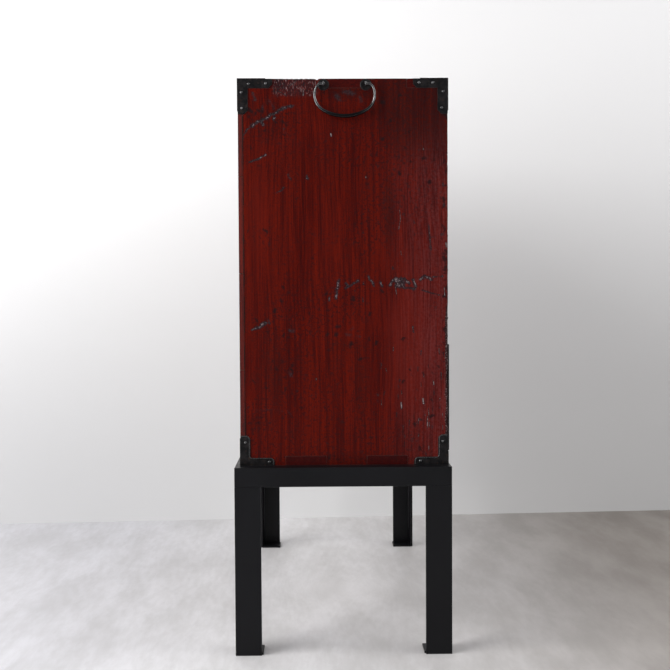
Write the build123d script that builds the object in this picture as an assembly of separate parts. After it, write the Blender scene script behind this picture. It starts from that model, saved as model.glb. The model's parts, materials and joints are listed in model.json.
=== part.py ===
from build123d import *
import math
import os

# Clothing chest on a steel stand, in millimetres.
# The chest faces -Y, its width runs along X and Z is up. The floor is z = 0.
# The origin is at the bottom centre of the whole object's box.

# ---- driving dimensions: chest ----
chest_width = 1000.0        # 3 shaku 3 sun
chest_depth = 455.0         # 1 shaku 5 sun, with the back boards
chest_height = 840.0
board = 20.0                # side, top and bottom boards
back_board = 10.0
finger_count = 5            # finger joints along each corner of the case
rail_height = 16.0          # front rails between the tiers
rail_depth = 36.0
rail_rabbet = 10.0          # rabbet at the rear of a rail that carries the dust panel
dust_panel = 8.0
housing = 6.0               # depth of the housings cut in the side boards
lower_tier = 255.0          # clear height of the lowest tier
cupboard_width = 370.0      # clear width of the small cupboard at the left
divider = 16.0
cupboard_shelf_thickness = 10.0

# ---- driving dimensions: drawers ----
front_thickness = 18.0
drawer_side = 9.0
drawer_bottom = 7.0
drawer_length = 428.0
side_play = 0.75
top_play = 1.5
rabbet_depth = 8.0
box_drop = 4.0              # the drawer sides stop this far below the top of the front

# ---- driving dimensions: iron fittings ----
plate = 1.2                 # sheet iron
corner_arm = 75.0           # long arms of the corner irons on the ends
corner_drop = 76.0
corner_width = 20.0
foot_corner_drop = 66.0
foot_corner_width = 17.0
wrap_under_hinge = 29.0     # front wrap of the lower irons, below the hinge plate
strap_arm = 34.0            # half the length of the strap over the divider's joint
strap_drop = 42.0
strap_inset = 1.5
strap_nail_inset = 8.0
strap_tip = 4.0
cap_width = 30.0            # part of a corner iron that lies on the top
nail_radius = 3.4
nail_height = 2.4
nail_taper = 34.0           # degrees
eye_radius = 5.2            # ring head of the split pin that holds a bail
eye_width = 4.4
eye_neck = 6.0
eye_bore = 2.55
bail_pin = 2.5              # rod radius of a bail at its pins
bail_pin_end = 1.5          # the pin shows this far inside the eye
bail_lean = 27.0            # degrees by which a bail still runs outward below its turn
eye_reach = 12.0            # from the wood to the axis of the bail
rosette_radius = 12.5
rosette_thickness = 1.6
rosette_sides = 12
front_iron_arm = 48.0       # flat angle irons on the corners of the fronts
front_iron_rise = 36.0
front_iron_width = 13.0
front_iron_inset = 1.0
front_nail_inset = 8.0
lock_radius = 46.0          # round lock plates of the drawers and of the door
door_lock_radius = 34.0
lock_cover = 2.2
keyhole_radius = 2.6
keyhole_slot = 2.2
keyhole_drop = 9.0
lock_case_depth = 12.0
lock_rim = 6.0

end_posts = 92.0            # distance between the eyes of an end handle
end_bail_half_width = 65.0
end_bail_drop = 69.0
end_bail_turn = 12.0        # radius of the turn out of the eye
end_bail_corner = 38.0
end_bail_grip = 4.3         # rod radius at the middle of the bail
end_handle_below_top = 13.0
end_handle_forward = 4.0    # the handle sits a little forward of the middle

front_posts = 80.0
front_bail_half_width = 55.0
front_bail_drop = 50.0
front_bail_turn = 9.0
front_bail_corner = 26.0
front_bail_grip = 3.4
handle_offset = 250.0       # bails of a wide drawer, from the middle
bail_rise = 20.0            # the eyes sit this far above the middle of a wide front
small_bail_rise = 18.0

# ---- driving dimensions: cupboard door ----
door_gap = 1.0
door_free_gap = 1.5
knuckle_radius = 3.0
knuckle_recess = 3.4
hinge_axis_depth = 0.2      # the hinge axis lies this far behind the front face
hinge_plate_thickness = 2.4
hinge_plate_bottom = 31.0
hinge_plate_height = 232.0
hinge_notch = 1.4           # clears the moving strap when the door stands open
hinge_pin = 1.5
hinge_pin_play = 0.06
strap_length = 88.0
strap_height = 26.0
knuckle_height = 14.0
knuckle_play = 0.4

# ---- driving dimensions: stand ----
stand_height = 410.0
stand_end_gap = 33.5        # bare ledge at each end of the chest
stand_back_gap = 11.5
stand_front_gap = 4.5
leg_flange = 57.0
leg_wall = 6.0
rail_flange = 42.0
rail_wall = 5.0
foot_plate = 54.0
foot_plate_thickness = 5.0

# ---- derived places ----
handle_reach = eye_reach + eye_radius
whole_depth = handle_reach + chest_depth + stand_back_gap
front_y = -whole_depth / 2 + handle_reach          # front face of the case and the drawers
back_y = front_y + chest_depth                     # rear face of the back boards
case_back_y = back_y - back_board
case_depth = chest_depth - back_board
finger = case_depth / finger_count
half_width = chest_width / 2
inner_x = half_width - board
base_z = stand_height
top_z = base_z + chest_height
floor_z = base_z + board                           # upper face of the bottom board
lower_rail_z = floor_z + lower_tier
tier_height = (chest_height - 2 * board - lower_tier - 3 * rail_height) / 3
middle_rail_z = lower_rail_z + rail_height + tier_height
upper_rail_z = middle_rail_z + rail_height + tier_height
rail_levels = [lower_rail_z, middle_rail_z, upper_rail_z]
divider_x = -inner_x + cupboard_width              # left face of the divider
small_left_x = divider_x + divider
small_height = (lower_tier - rail_height) / 2
small_rail_z = floor_z + small_height
shelf_z = floor_z + (lower_tier - cupboard_shelf_thickness) / 2
stand_half_length = half_width + stand_end_gap
stand_front_y = front_y - stand_front_gap
stand_back_y = back_y + stand_back_gap
hinge_x = -inner_x
hinge_y = front_y + hinge_axis_depth

nodes = {}


def slab(x0, x1, y0, y1, z0, z1):
    """A straight board or plate between two corners."""
    box = Box(x1 - x0, y1 - y0, z1 - z0, align=(Align.MIN, Align.MIN, Align.MIN))
    return Pos(x0, y0, z0) * box


def group(pieces):
    """Separate solids that share one node."""
    solids = []
    for piece in pieces:
        solids += piece.solids()
    return Compound(solids)


# ---- stand: four angle legs under a mitred ring of angle rails ----

def angle_section(flange, wall):
    """Rolled angle section with its outer corner at the origin."""
    outline = Rectangle(flange, flange, align=(Align.MIN, Align.MIN))
    hollow = Pos(wall, wall) * Rectangle(flange, flange, align=(Align.MIN, Align.MIN))
    section = outline - hollow
    root = section.vertices().sort_by_distance((wall, wall))[0]
    return fillet(root, wall * 0.8)


def leg(side_x, side_y):
    """One leg. side_x and side_y say which outer corner it stands at."""
    height = stand_height - rail_flange
    blank = extrude(angle_section(leg_flange, leg_wall), height)
    if side_x > 0:
        blank = mirror(blank, about=Plane.YZ)
    if side_y > 0:
        blank = mirror(blank, about=Plane.XZ)
    corner_y = stand_back_y if side_y > 0 else stand_front_y
    return Pos(side_x * stand_half_length, corner_y, 0) * blank


def rail_blank(length):
    """Angle rail along +X, outer face at y = 0, ledge at z = 0, with mitred ends."""
    section = Plane.YZ * mirror(angle_section(rail_flange, rail_wall), about=Plane.XZ)
    blank = extrude(section, length)
    cutter = Polygon((0, 0), (rail_flange, rail_flange), (-rail_flange, rail_flange), (-rail_flange, 0),
                     align=None)
    wedge = Pos(0, 0, -rail_flange - 1) * extrude(cutter, rail_flange + 2)
    far_wedge = Pos(length, 0, 0) * mirror(wedge, about=Plane.YZ)
    return blank - wedge - far_wedge


stand_length = 2 * stand_half_length
stand_depth = stand_back_y - stand_front_y
front_rail = Pos(-stand_half_length, stand_front_y, stand_height) * rail_blank(stand_length)
back_rail = Pos(stand_half_length, stand_back_y, stand_height) * Rot(0, 0, 180) * rail_blank(stand_length)
left_rail = Pos(-stand_half_length, stand_back_y, stand_height) * Rot(0, 0, -90) * rail_blank(stand_depth)
right_rail = Pos(stand_half_length, stand_front_y, stand_height) * Rot(0, 0, 90) * rail_blank(stand_depth)

nodes["stand_leg_front_left"] = leg(-1, -1)
nodes["stand_leg_front_right"] = leg(1, -1)
nodes["stand_leg_back_left"] = leg(-1, 1)
nodes["stand_leg_back_right"] = leg(1, 1)
nodes["stand_long_rails"] = group([front_rail, back_rail])
nodes["stand_end_rails"] = group([left_rail, right_rail])

foot_plates = []
for side_x in (-1, 1):
    for side_y in (-1, 1):
        pad = Box(foot_plate, foot_plate, foot_plate_thickness, align=(Align.MIN, Align.MIN, Align.MIN))
        pad = chamfer(pad.edges().filter_by(Axis.Z).sort_by_distance((0, 0, 0))[0], 5)
        pad = Pos(leg_wall, leg_wall, 0) * pad
        if side_x > 0:
            pad = mirror(pad, about=Plane.YZ)
        if side_y > 0:
            pad = mirror(pad, about=Plane.XZ)
        corner_y = stand_back_y if side_y > 0 else stand_front_y
        foot_plates.append(Pos(side_x * stand_half_length, corner_y, 0) * pad)
nodes["stand_foot_plates"] = group(foot_plates)


# ---- case: boards joined by through fingers ----

def finger_blocks(x0, x1, z0, z1, segments):
    """Blocks that fill the numbered finger segments, counted from the back."""
    blocks = []
    for number in segments:
        start = case_back_y - (number + 1) * finger
        blocks.append(slab(x0, x1, start, start + finger, z0, z1))
    return blocks


even_segments = range(0, finger_count, 2)
odd_segments = range(1, finger_count, 2)


def side_board(side):
    """Side board with finger slots, rail mortises and housings for the dust panels."""
    outer = side * half_width
    inner = side * inner_x
    x0, x1 = min(outer, inner), max(outer, inner)
    wood = slab(x0, x1, front_y, case_back_y, base_z, top_z)
    wood -= finger_blocks(x0, x1, top_z - board, top_z, even_segments)
    wood -= finger_blocks(x0, x1, base_z, base_z + board, odd_segments)
    housing_x = inner + side * housing
    h0, h1 = min(inner, housing_x), max(inner, housing_x)
    for level in rail_levels:
        tenon_top = level + rail_height - dust_panel
        wood -= slab(h0, h1, front_y + 8, front_y + rail_depth, level, tenon_top)
        panel_front = front_y + rail_depth - rail_rabbet
        wood -= slab(h0, h1, panel_front, case_back_y, tenon_top, level + rail_height)
    if side > 0:
        tenon_top = small_rail_z + rail_height - dust_panel
        wood -= slab(h0, h1, front_y + 8, front_y + rail_depth, small_rail_z, tenon_top)
        panel_front = front_y + rail_depth - rail_rabbet
        wood -= slab(h0, h1, panel_front, case_back_y, tenon_top, small_rail_z + rail_height)
    if side < 0:
        shelf_top = shelf_z + cupboard_shelf_thickness
        wood -= slab(h0, h1, front_y + rail_depth, case_back_y, shelf_z, shelf_top)
        recess_bottom = base_z + hinge_plate_bottom
        recess = Cylinder(knuckle_recess, hinge_plate_height, align=(Align.CENTER, Align.CENTER, Align.MIN))
        wood -= Pos(hinge_x, hinge_y, recess_bottom) * recess
    return wood


nodes["side_board_left"] = side_board(-1)
nodes["side_board_right"] = side_board(1)

top_wood = slab(-half_width, half_width, front_y, case_back_y, top_z - board, top_z)
top_wood -= finger_blocks(-half_width, -inner_x, top_z - board, top_z, odd_segments)
top_wood -= finger_blocks(inner_x, half_width, top_z - board, top_z, odd_segments)
nodes["top_board"] = top_wood

bottom_wood = slab(-half_width, half_width, front_y, case_back_y, base_z, floor_z)
bottom_wood -= finger_blocks(-half_width, -inner_x, base_z, floor_z, even_segments)
bottom_wood -= finger_blocks(inner_x, half_width, base_z, floor_z, even_segments)
nodes["bottom_board"] = bottom_wood

back_plank_count = 4
back_plank = chest_height / back_plank_count
back_planks = []
for number in range(back_plank_count):
    z0 = base_z + number * back_plank
    back_planks.append(slab(-half_width, half_width, case_back_y, back_y, z0, z0 + back_plank - 0.6))
nodes["back_boards"] = group(back_planks)


def front_rail_board(x0, x1, level, tenon_left, tenon_right):
    """Front rail with a rear rabbet for its dust panel and a low tenon at each end."""
    wood = slab(x0, x1, front_y, front_y + rail_depth, level, level + rail_height)
    tenon_top = level + rail_height - dust_panel
    panel_front = front_y + rail_depth - rail_rabbet
    wood -= slab(x0, x1, panel_front, front_y + rail_depth, tenon_top, level + rail_height)
    if tenon_left:
        wood += slab(x0 - housing, x0, front_y + 8, front_y + rail_depth, level, tenon_top)
    if tenon_right:
        wood += slab(x1, x1 + housing, front_y + 8, front_y + rail_depth, level, tenon_top)
    return wood


def dust_panel_board(x0, x1, level):
    """Thin panel behind a rail, its upper face level with the rail."""
    panel_front = front_y + rail_depth - rail_rabbet
    return slab(x0, x1, panel_front, case_back_y, level + rail_height - dust_panel, level + rail_height)


rail_names = ["tier_rail_lower", "tier_rail_middle", "tier_rail_upper"]
dust_panels = []
for rail_name, level in zip(rail_names, rail_levels):
    nodes[rail_name] = front_rail_board(-inner_x, inner_x, level, True, True)
    dust_panels.append(dust_panel_board(-inner_x - housing, inner_x + housing, level))
nodes["small_drawer_rail"] = front_rail_board(small_left_x, inner_x, small_rail_z, True, True)
dust_panels.append(dust_panel_board(small_left_x - housing, inner_x + housing, small_rail_z))
nodes["dust_panels"] = group(dust_panels)

# The divider fits under the lower rail and, behind it, under the lower dust panel.
divider_wood = slab(divider_x, small_left_x, front_y, case_back_y, floor_z, lower_rail_z)
divider_wood += slab(divider_x, small_left_x, front_y + rail_depth, case_back_y, lower_rail_z,
                     lower_rail_z + rail_height - dust_panel)
tenon_top = small_rail_z + rail_height - dust_panel
panel_front = front_y + rail_depth - rail_rabbet
divider_wood -= slab(small_left_x - housing, small_left_x, front_y + 8, front_y + rail_depth,
                     small_rail_z, tenon_top)
divider_wood -= slab(small_left_x - housing, small_left_x, panel_front, case_back_y, tenon_top,
                     small_rail_z + rail_height)
divider_wood -= slab(divider_x, divider_x + housing, front_y + rail_depth, case_back_y, shelf_z,
                     shelf_z + cupboard_shelf_thickness)
nodes["divider_board"] = divider_wood
nodes["cupboard_shelf"] = slab(-inner_x - housing, divider_x + housing, front_y + rail_depth,
                               case_back_y, shelf_z, shelf_z + cupboard_shelf_thickness)


# ---- iron fittings ----

def nail(x, y, z, turn_x, turn_y):
    """Forged nail head, six-sided, standing on the plate at its place."""
    head = extrude(RegularPolygon(nail_radius, 6), nail_height, taper=nail_taper)
    return Pos(x, y, z) * Rot(turn_x, turn_y, 0) * head


def front_nail(x, z, lift=plate):
    return nail(x, front_y - lift, z, 90, 0)


def left_end_nail(y, z):
    return nail(-half_width - plate, y, z, 0, -90)


def angle_plate(arm_u, arm_v, width_u, width_v, rounded):
    """Flat L-shaped iron in its own plane, corner at the origin, arms along +u and +v."""
    outline = Rectangle(arm_u, width_u, align=(Align.MIN, Align.MIN))
    outline += Rectangle(width_v, arm_v, align=(Align.MIN, Align.MIN))
    ends = outline.vertices().filter_by(lambda v: v.X > arm_u - 0.1 or v.Y > arm_v - 0.1)
    inner_ends = [v for v in ends if v.X > 1 and v.Y > 1]
    if rounded:
        outline = fillet(inner_ends, min(width_u, width_v) * 0.62)
    else:
        outline = chamfer(inner_ends, min(width_u, width_v) * 0.4)
    return outline


def end_corner_iron(at_front, at_top):
    """Corner iron of the left end: a plate on the end, wrapped over the corner's other faces."""
    width = corner_width if at_top else foot_corner_width
    drop = corner_drop if at_top else foot_corner_drop
    edge_y = front_y if at_front else back_y
    outward = -1 if at_front else 1
    corner_z = top_z if at_top else base_z
    # u runs inward along +Y and v upward, turned round for the back and top corners
    upright = Plane(origin=(-half_width, 0, 0), x_dir=(0, 1, 0), z_dir=(1, 0, 0))
    solid = upright * extrude(angle_plate(corner_arm, drop, width, corner_width + 2, not at_top), -plate)
    if not at_front:
        solid = mirror(solid, about=Plane.XZ)
    if at_top:
        solid = mirror(solid, about=Plane.XY)
    solid = Pos(0, edge_y, corner_z) * solid
    x0, x1 = -half_width - plate, -half_width + board - 1
    long_x = -half_width + corner_arm
    y0, y1 = sorted((edge_y, edge_y + outward * plate))
    if at_top:
        cap_y = sorted((edge_y + outward * plate, edge_y - outward * corner_arm * 0.8))
        solid += slab(x0, -half_width + cap_width, cap_y[0], cap_y[1], top_z, top_z + plate)
        solid += slab(x0, x1, y0, y1, top_z - drop * 0.9, top_z + plate)
        solid += slab(x1, long_x, y0, y1, top_z - board + 1, top_z + plate)
    else:
        wrap = wrap_under_hinge if at_front else drop * 0.9
        solid += slab(x0, x1, y0, y1, base_z, base_z + wrap)
        solid += slab(x1, long_x, y0, y1, base_z, base_z + board - 1)
    return solid


left_corner_irons = []
for at_front in (True, False):
    for at_top in (True, False):
        left_corner_irons.append(end_corner_iron(at_front, at_top))
nodes["corner_irons_left"] = group(left_corner_irons)
nodes["corner_irons_right"] = group([mirror(iron, about=Plane.YZ) for iron in left_corner_irons])

# Nails of one end, as (distance from the front or back edge, distance from the top or bottom).
top_back_nails = [(24, 11), (61, 10), (8, 29), (9, 63)]
top_front_nails = [(62, 9), (32, 9), (13, 63), (10, 28)]
foot_back_nails = [(11, 51), (63, 8)]
foot_front_nails = [(12, 51), (61, 8)]
end_nails = []
for inward, down in top_back_nails:
    end_nails.append(left_end_nail(back_y - inward, top_z - down))
for inward, down in top_front_nails:
    end_nails.append(left_end_nail(front_y + inward, top_z - down))
for inward, up in foot_back_nails:
    end_nails.append(left_end_nail(back_y - inward, base_z + up))
for inward, up in foot_front_nails:
    end_nails.append(left_end_nail(front_y + inward, base_z + up))
nodes["corner_iron_nails"] = group(end_nails + [mirror(head, about=Plane.YZ) for head in end_nails])


# T-shaped strap over the joint of the lower rail and the divider.
divider_middle = (divider_x + small_left_x) / 2
strap_bottom = lower_rail_z + strap_inset
strap_top = lower_rail_z + rail_height - strap_inset
strap_left, strap_right = divider_middle - strap_arm, divider_middle + strap_arm
strap = slab(strap_left, strap_right, front_y - plate, front_y, strap_bottom, strap_top)
strap += slab(divider_x + strap_inset, small_left_x - strap_inset, front_y - plate, front_y,
              lower_rail_z - strap_drop, strap_bottom)
tips = [e for e in strap.edges().filter_by(Axis.Y) if abs(e.center().X - divider_middle) > strap_arm - 1]
tips += [e for e in strap.edges().filter_by(Axis.Y) if e.center().Z < lower_rail_z - strap_drop + 1]
nodes["frame_straps"] = chamfer(tips, strap_tip)
strap_nails = [front_nail(divider_middle, lower_rail_z - strap_drop + strap_nail_inset)]
for x in (strap_left + strap_nail_inset, strap_right - strap_nail_inset):
    strap_nails.append(front_nail(x, (strap_bottom + strap_top) / 2))
nodes["frame_strap_nails"] = group(strap_nails)


def eye_and_rosette():
    """Round rosette and the ring head of its split pin, standing on z = 0, bored along X."""
    rosette = extrude(RegularPolygon(rosette_radius, rosette_sides), rosette_thickness)
    head = Pos(0, eye_reach) * RegularPolygon(eye_radius, 12, major_radius=False)
    ring = head + Pos(0, eye_reach / 2) * Rectangle(eye_neck, eye_reach)
    ring -= Pos(0, eye_reach) * Circle(eye_bore)
    return rosette + extrude(Plane.YZ * ring, eye_width / 2, both=True)


def bail(half_width_, drop, turn, corner, grip, pin_start, sides, steps):
    """Forged bail in the XZ plane: a pin in each eye, a turn, and a drop that swells to the grip."""
    # One half is three arcs that run into each other: the turn out of the eye, the corner and
    # the wide bottom. The rod leaves the turn while it still leans outward.
    lean = math.radians(bail_lean)
    corner_x = half_width_ - corner
    turn_x = corner_x + (corner - turn) * math.cos(lean)
    corner_z = -turn - (corner - turn) * math.sin(lean)
    depth = drop + corner_z
    bottom = (corner_x ** 2 + depth ** 2 - corner ** 2) / (2 * (depth - corner))
    bottom_z = -drop + bottom
    meet = math.atan2(bottom_z - corner_z, corner_x)
    arcs = [(turn_x, -turn, turn, -math.pi / 2, -lean, steps),
            (corner_x, corner_z, corner, -lean, meet, steps),
            (0, bottom_z, bottom, meet, math.pi / 2, steps)]
    whole_length = corner * (meet + lean) + bottom * (math.pi / 2 - meet)
    # each station is (x, z, angle of the rod's run, radius), from the eye to the middle
    stations = [(pin_start, 0, -math.pi / 2, bail_pin)]
    run = 0
    for centre_x, centre_z, radius, start, end, count in arcs:
        for number in range(count):
            angle = start + (end - start) * number / count
            share = (run + radius * (angle - start)) / whole_length
            swell = 0 if radius == turn else share * share * (3 - 2 * share)
            stations.append((centre_x + radius * math.cos(angle), centre_z - radius * math.sin(angle), angle,
                             bail_pin + (grip - bail_pin) * swell))
        run += 0 if radius == turn else radius * (end - start)
    stations.append((0, -drop, math.pi / 2, grip))
    sections = []
    for x, z, angle, radius in stations:
        across = Plane(origin=(x, 0, z), x_dir=(0, 1, 0), z_dir=(-math.sin(angle), 0, -math.cos(angle)))
        sections.append(across * RegularPolygon(radius, sides))
    half = loft(sections, ruled=True)
    return half + mirror(half, about=Plane.YZ)


# ---- end handles ----
end_handle_y = (front_y + back_y) / 2 - end_handle_forward
end_handle_z = top_z - end_handle_below_top
end_eye = eye_and_rosette()
left_eyes = []
for side in (-1, 1):
    # turned so that the bore lies along Y and the eye stands out along -X
    turned = Rot(0, -90, 0) * Rot(0, 0, 90) * end_eye
    left_eyes.append(Pos(-half_width, end_handle_y + side * end_posts / 2, end_handle_z) * turned)
nodes["end_handle_eyes_left"] = group(left_eyes)
nodes["end_handle_eyes_right"] = group([mirror(eye, about=Plane.YZ) for eye in left_eyes])
pin_inset = eye_width / 2 + bail_pin_end
end_bail = bail(end_bail_half_width, end_bail_drop, end_bail_turn, end_bail_corner, end_bail_grip,
                end_posts / 2 - pin_inset, sides=12, steps=4)
left_bail = Pos(-half_width - eye_reach, end_handle_y, end_handle_z) * Rot(0, 0, 90) * end_bail
nodes["end_bail_left"] = left_bail
nodes["end_bail_right"] = mirror(left_bail, about=Plane.YZ)


# ---- drawers ----

def drawer_wood(x0, x1, z0, z1):
    """Front and box of one drawer for the opening x0..x1, z0..z1."""
    left = x0 + side_play
    right = x1 - side_play
    top = z1 - top_play
    front_back = front_y + front_thickness
    seat = front_back - rabbet_depth
    box_back = front_y + drawer_length
    front = slab(left, right, front_y, front_back, z0, top)
    front -= slab(left, left + drawer_side, seat, front_back, z0, top - box_drop)
    front -= slab(right - drawer_side, right, seat, front_back, z0, top - box_drop)
    front -= slab(left, right, seat, front_back, z0, z0 + drawer_bottom)
    side_bottom = z0 + drawer_bottom
    side_top = top - box_drop
    third = (side_top - side_bottom) / 3
    back_start = box_back - drawer_side
    left_side = slab(left, left + drawer_side, seat, box_back, side_bottom, side_top)
    left_side -= slab(left, left + drawer_side, back_start, box_back, side_bottom + third, side_top - third)
    right_side = slab(right - drawer_side, right, seat, box_back, side_bottom, side_top)
    right_side -= slab(right - drawer_side, right, back_start, box_back, side_bottom + third,
                       side_top - third)
    back = slab(left + drawer_side, right - drawer_side, back_start, box_back, side_bottom, side_top)
    back += slab(left, right, back_start, box_back, side_bottom + third, side_top - third)
    bottom = slab(left, right, seat, box_back, z0, side_bottom)
    return front, group([left_side, right_side, back, bottom])


def drawer_corner_irons(x0, x1, z0, z1):
    """Four flat angle irons on the corners of a drawer front, each held by two nails."""
    left, right = x0 + side_play + front_iron_inset, x1 - side_play - front_iron_inset
    bottom, top = z0 + front_iron_inset, z1 - top_play - front_iron_inset
    outline = angle_plate(front_iron_arm, front_iron_rise, front_iron_width, front_iron_width, False)
    place = Plane(origin=(0, front_y, 0), x_dir=(1, 0, 0), z_dir=(0, -1, 0))
    flat = place * extrude(outline, plate)
    irons = []
    for x, flip_x in ((left, False), (right, True)):
        for z, flip_z in ((bottom, False), (top, True)):
            iron = flat
            if flip_x:
                iron = mirror(iron, about=Plane.YZ)
            if flip_z:
                iron = mirror(iron, about=Plane.XY)
            irons.append(Pos(x, 0, z) * iron)
            step_x = -1 if flip_x else 1
            step_z = -1 if flip_z else 1
            arm_nail, rise_nail = front_iron_arm - front_nail_inset, front_iron_rise - front_nail_inset
            irons.append(front_nail(x + step_x * arm_nail, z + step_z * front_iron_width / 2))
            irons.append(front_nail(x + step_x * front_iron_width / 2, z + step_z * rise_nail))
    return irons


def lock_plate(x, z, radius):
    """Round lock plate with a raised lock cover, a keyhole through both, and four nails."""
    sheet = extrude(Circle(radius), plate)
    cover = extrude(Rectangle(radius * 0.62, radius * 0.8), plate + lock_cover)
    cover = chamfer(cover.edges().group_by(Axis.Z)[-1], 1.0)
    slot_middle = keyhole_radius - keyhole_drop / 2
    keyhole = RegularPolygon(keyhole_radius, 8) + Pos(0, slot_middle) * Rectangle(keyhole_slot, keyhole_drop)
    body = sheet + cover - extrude(keyhole, plate + lock_cover)
    place = Plane(origin=(x, front_y, z), x_dir=(1, 0, 0), z_dir=(0, -1, 0))
    pieces = [place * body]
    for turn in (45, 135, 225, 315):
        angle = math.radians(turn)
        pieces.append(front_nail(x + radius * 0.84 * math.cos(angle), z + radius * 0.84 * math.sin(angle)))
    return pieces


def lock_case(x, top, width, height):
    """Closed iron lock on the inner face of a drawer front or door."""
    y0 = front_y + front_thickness
    case = slab(x - width / 2, x + width / 2, y0, y0 + lock_case_depth, top - height, top)
    reach = width / 2 + lock_rim
    rim = slab(x - reach, x + reach, y0, y0 + 1.5, top - height - lock_rim, top)
    return chamfer((case + rim).edges().group_by(Axis.Y)[-1], 1.5)


def drawer_fittings(x, z):
    """Eyes with rosettes for one front bail centred on x, at height z."""
    eyes = []
    for side in (-1, 1):
        eyes.append(Pos(x + side * front_posts / 2, front_y, z) * Rot(90, 0, 0) * eye_and_rosette())
    return eyes


front_bail = bail(front_bail_half_width, front_bail_drop, front_bail_turn, front_bail_corner, front_bail_grip,
                  front_posts / 2 - pin_inset, sides=8, steps=3)


def hung_bail(x, z):
    """A front bail hanging from its eyes."""
    return Pos(x, front_y - eye_reach, z) * front_bail


big_tiers = [(upper_rail_z + rail_height, top_z - board), (middle_rail_z + rail_height, upper_rail_z),
             (lower_rail_z + rail_height, middle_rail_z)]
for number, (z0, z1) in enumerate(big_tiers, start=1):
    name = f"drawer_{number}"
    middle = (z0 + z1) / 2
    front, box = drawer_wood(-inner_x, inner_x, z0, z1)
    nodes[name + "_front"] = front
    nodes[name + "_box"] = box
    bail_z = middle + bail_rise
    irons = drawer_corner_irons(-inner_x, inner_x, z0, z1)
    irons += lock_plate(0, middle, lock_radius)
    irons += drawer_fittings(-handle_offset, bail_z) + drawer_fittings(handle_offset, bail_z)
    nodes[name + "_irons"] = group(irons)
    nodes[name + "_lock"] = lock_case(0, z1 - top_play - 1, 70, 58)
    nodes[name + "_bail_left"] = hung_bail(-handle_offset, bail_z)
    nodes[name + "_bail_right"] = hung_bail(handle_offset, bail_z)

small_tiers = [(small_rail_z + rail_height, lower_rail_z), (floor_z, small_rail_z)]
small_middle_x = (small_left_x + inner_x) / 2
for number, (z0, z1) in enumerate(small_tiers, start=1):
    name = f"small_drawer_{number}"
    middle = (z0 + z1) / 2
    front, box = drawer_wood(small_left_x, inner_x, z0, z1)
    nodes[name + "_front"] = front
    nodes[name + "_box"] = box
    bail_z = middle + small_bail_rise
    irons = drawer_corner_irons(small_left_x, inner_x, z0, z1)
    irons += drawer_fittings(small_middle_x, bail_z)
    nodes[name + "_irons"] = group(irons)
    nodes[name + "_bail"] = hung_bail(small_middle_x, bail_z)


# ---- cupboard door, hung on pin hinges at the left edge of the front ----
door_left = -inner_x + door_gap
door_right = divider_x - door_free_gap
door_bottom = floor_z + 1.0
door_top = lower_rail_z - 1.0
plate_z0 = base_z + hinge_plate_bottom
plate_z1 = plate_z0 + hinge_plate_height

door_wood = slab(door_left, door_right, front_y, front_y + front_thickness, door_bottom, door_top)
door_recess = Cylinder(knuckle_recess, hinge_plate_height, align=(Align.CENTER, Align.CENTER, Align.MIN))
door_wood -= Pos(hinge_x, hinge_y, plate_z0) * door_recess
nodes["door_panel"] = door_wood

hinge_centres = [plate_z0 + 40.0, plate_z1 - 40.0]
upright = (Align.CENTER, Align.CENTER, Align.MIN)


def knuckle(z0, z1, bore):
    """Rolled knuckle on the hinge axis, hammered to twelve flats, with a round bore."""
    barrel = extrude(RegularPolygon(knuckle_radius, 12) - Circle(bore), z1 - z0)
    return Pos(hinge_x, hinge_y, z0) * barrel


# fixed plate on the front edge of the side board, with two outer knuckles at each hinge
plate_front = front_y - hinge_plate_thickness
hinge_plate = slab(-half_width + 1, hinge_x - knuckle_recess, plate_front, front_y, plate_z0, plate_z1)
for centre in hinge_centres:
    half_inner = knuckle_height / 2 + knuckle_play
    hinge_plate -= slab(hinge_x - knuckle_recess - hinge_notch, hinge_x, plate_front, front_y,
                        centre - half_inner, centre + half_inner)
    for z0, z1 in ((centre - half_inner - knuckle_height, centre - half_inner),
                   (centre + half_inner, centre + half_inner + knuckle_height)):
        arm = slab(hinge_x - knuckle_recess - 0.1, hinge_x, plate_front, front_y - 0.4, z0, z1)
        bore = Pos(hinge_x, hinge_y, z0) * Cylinder(hinge_pin, z1 - z0, align=upright)
        hinge_plate += arm - bore
        hinge_plate += knuckle(z0, z1, hinge_pin)
nodes["door_hinge_plate"] = hinge_plate

hinge_straps = []
hinge_pins = []
strap_nail_places = []
for centre in hinge_centres:
    z0, z1 = centre - knuckle_height / 2, centre + knuckle_height / 2
    loose = hinge_pin + hinge_pin_play
    arm = slab(hinge_x, hinge_x + knuckle_recess + 0.6, front_y - plate - 1.2, front_y - 0.4, z0, z1)
    arm -= Pos(hinge_x, hinge_y, z0) * Cylinder(loose, knuckle_height, align=upright)
    flat_start = hinge_x + knuckle_recess + 0.5
    flat = slab(flat_start, hinge_x + strap_length, front_y - plate - 1.2, front_y, centre - strap_height / 2,
                centre + strap_height / 2)
    tips = [e for e in flat.edges().filter_by(Axis.Y) if e.center().X > hinge_x + strap_length - 1]
    flat = chamfer(tips, 8)
    hinge_straps.append(knuckle(z0, z1, loose) + arm + flat)
    strap_nail_places += [(hinge_x + 22, centre), (hinge_x + 50, centre), (hinge_x + 76, centre)]
    pin_half = knuckle_height * 1.5 + knuckle_play
    pin = Cylinder(hinge_pin, 2 * pin_half + 2.0)
    head = Pos(0, 0, pin_half + 1.0) * extrude(RegularPolygon(knuckle_radius - 0.2, 12), 1.6)
    hinge_pins.append(Pos(hinge_x, hinge_y, centre) * (pin + head))
nodes["door_hinge_straps"] = group(hinge_straps)
nodes["door_hinge_pins"] = group(hinge_pins)

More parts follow.
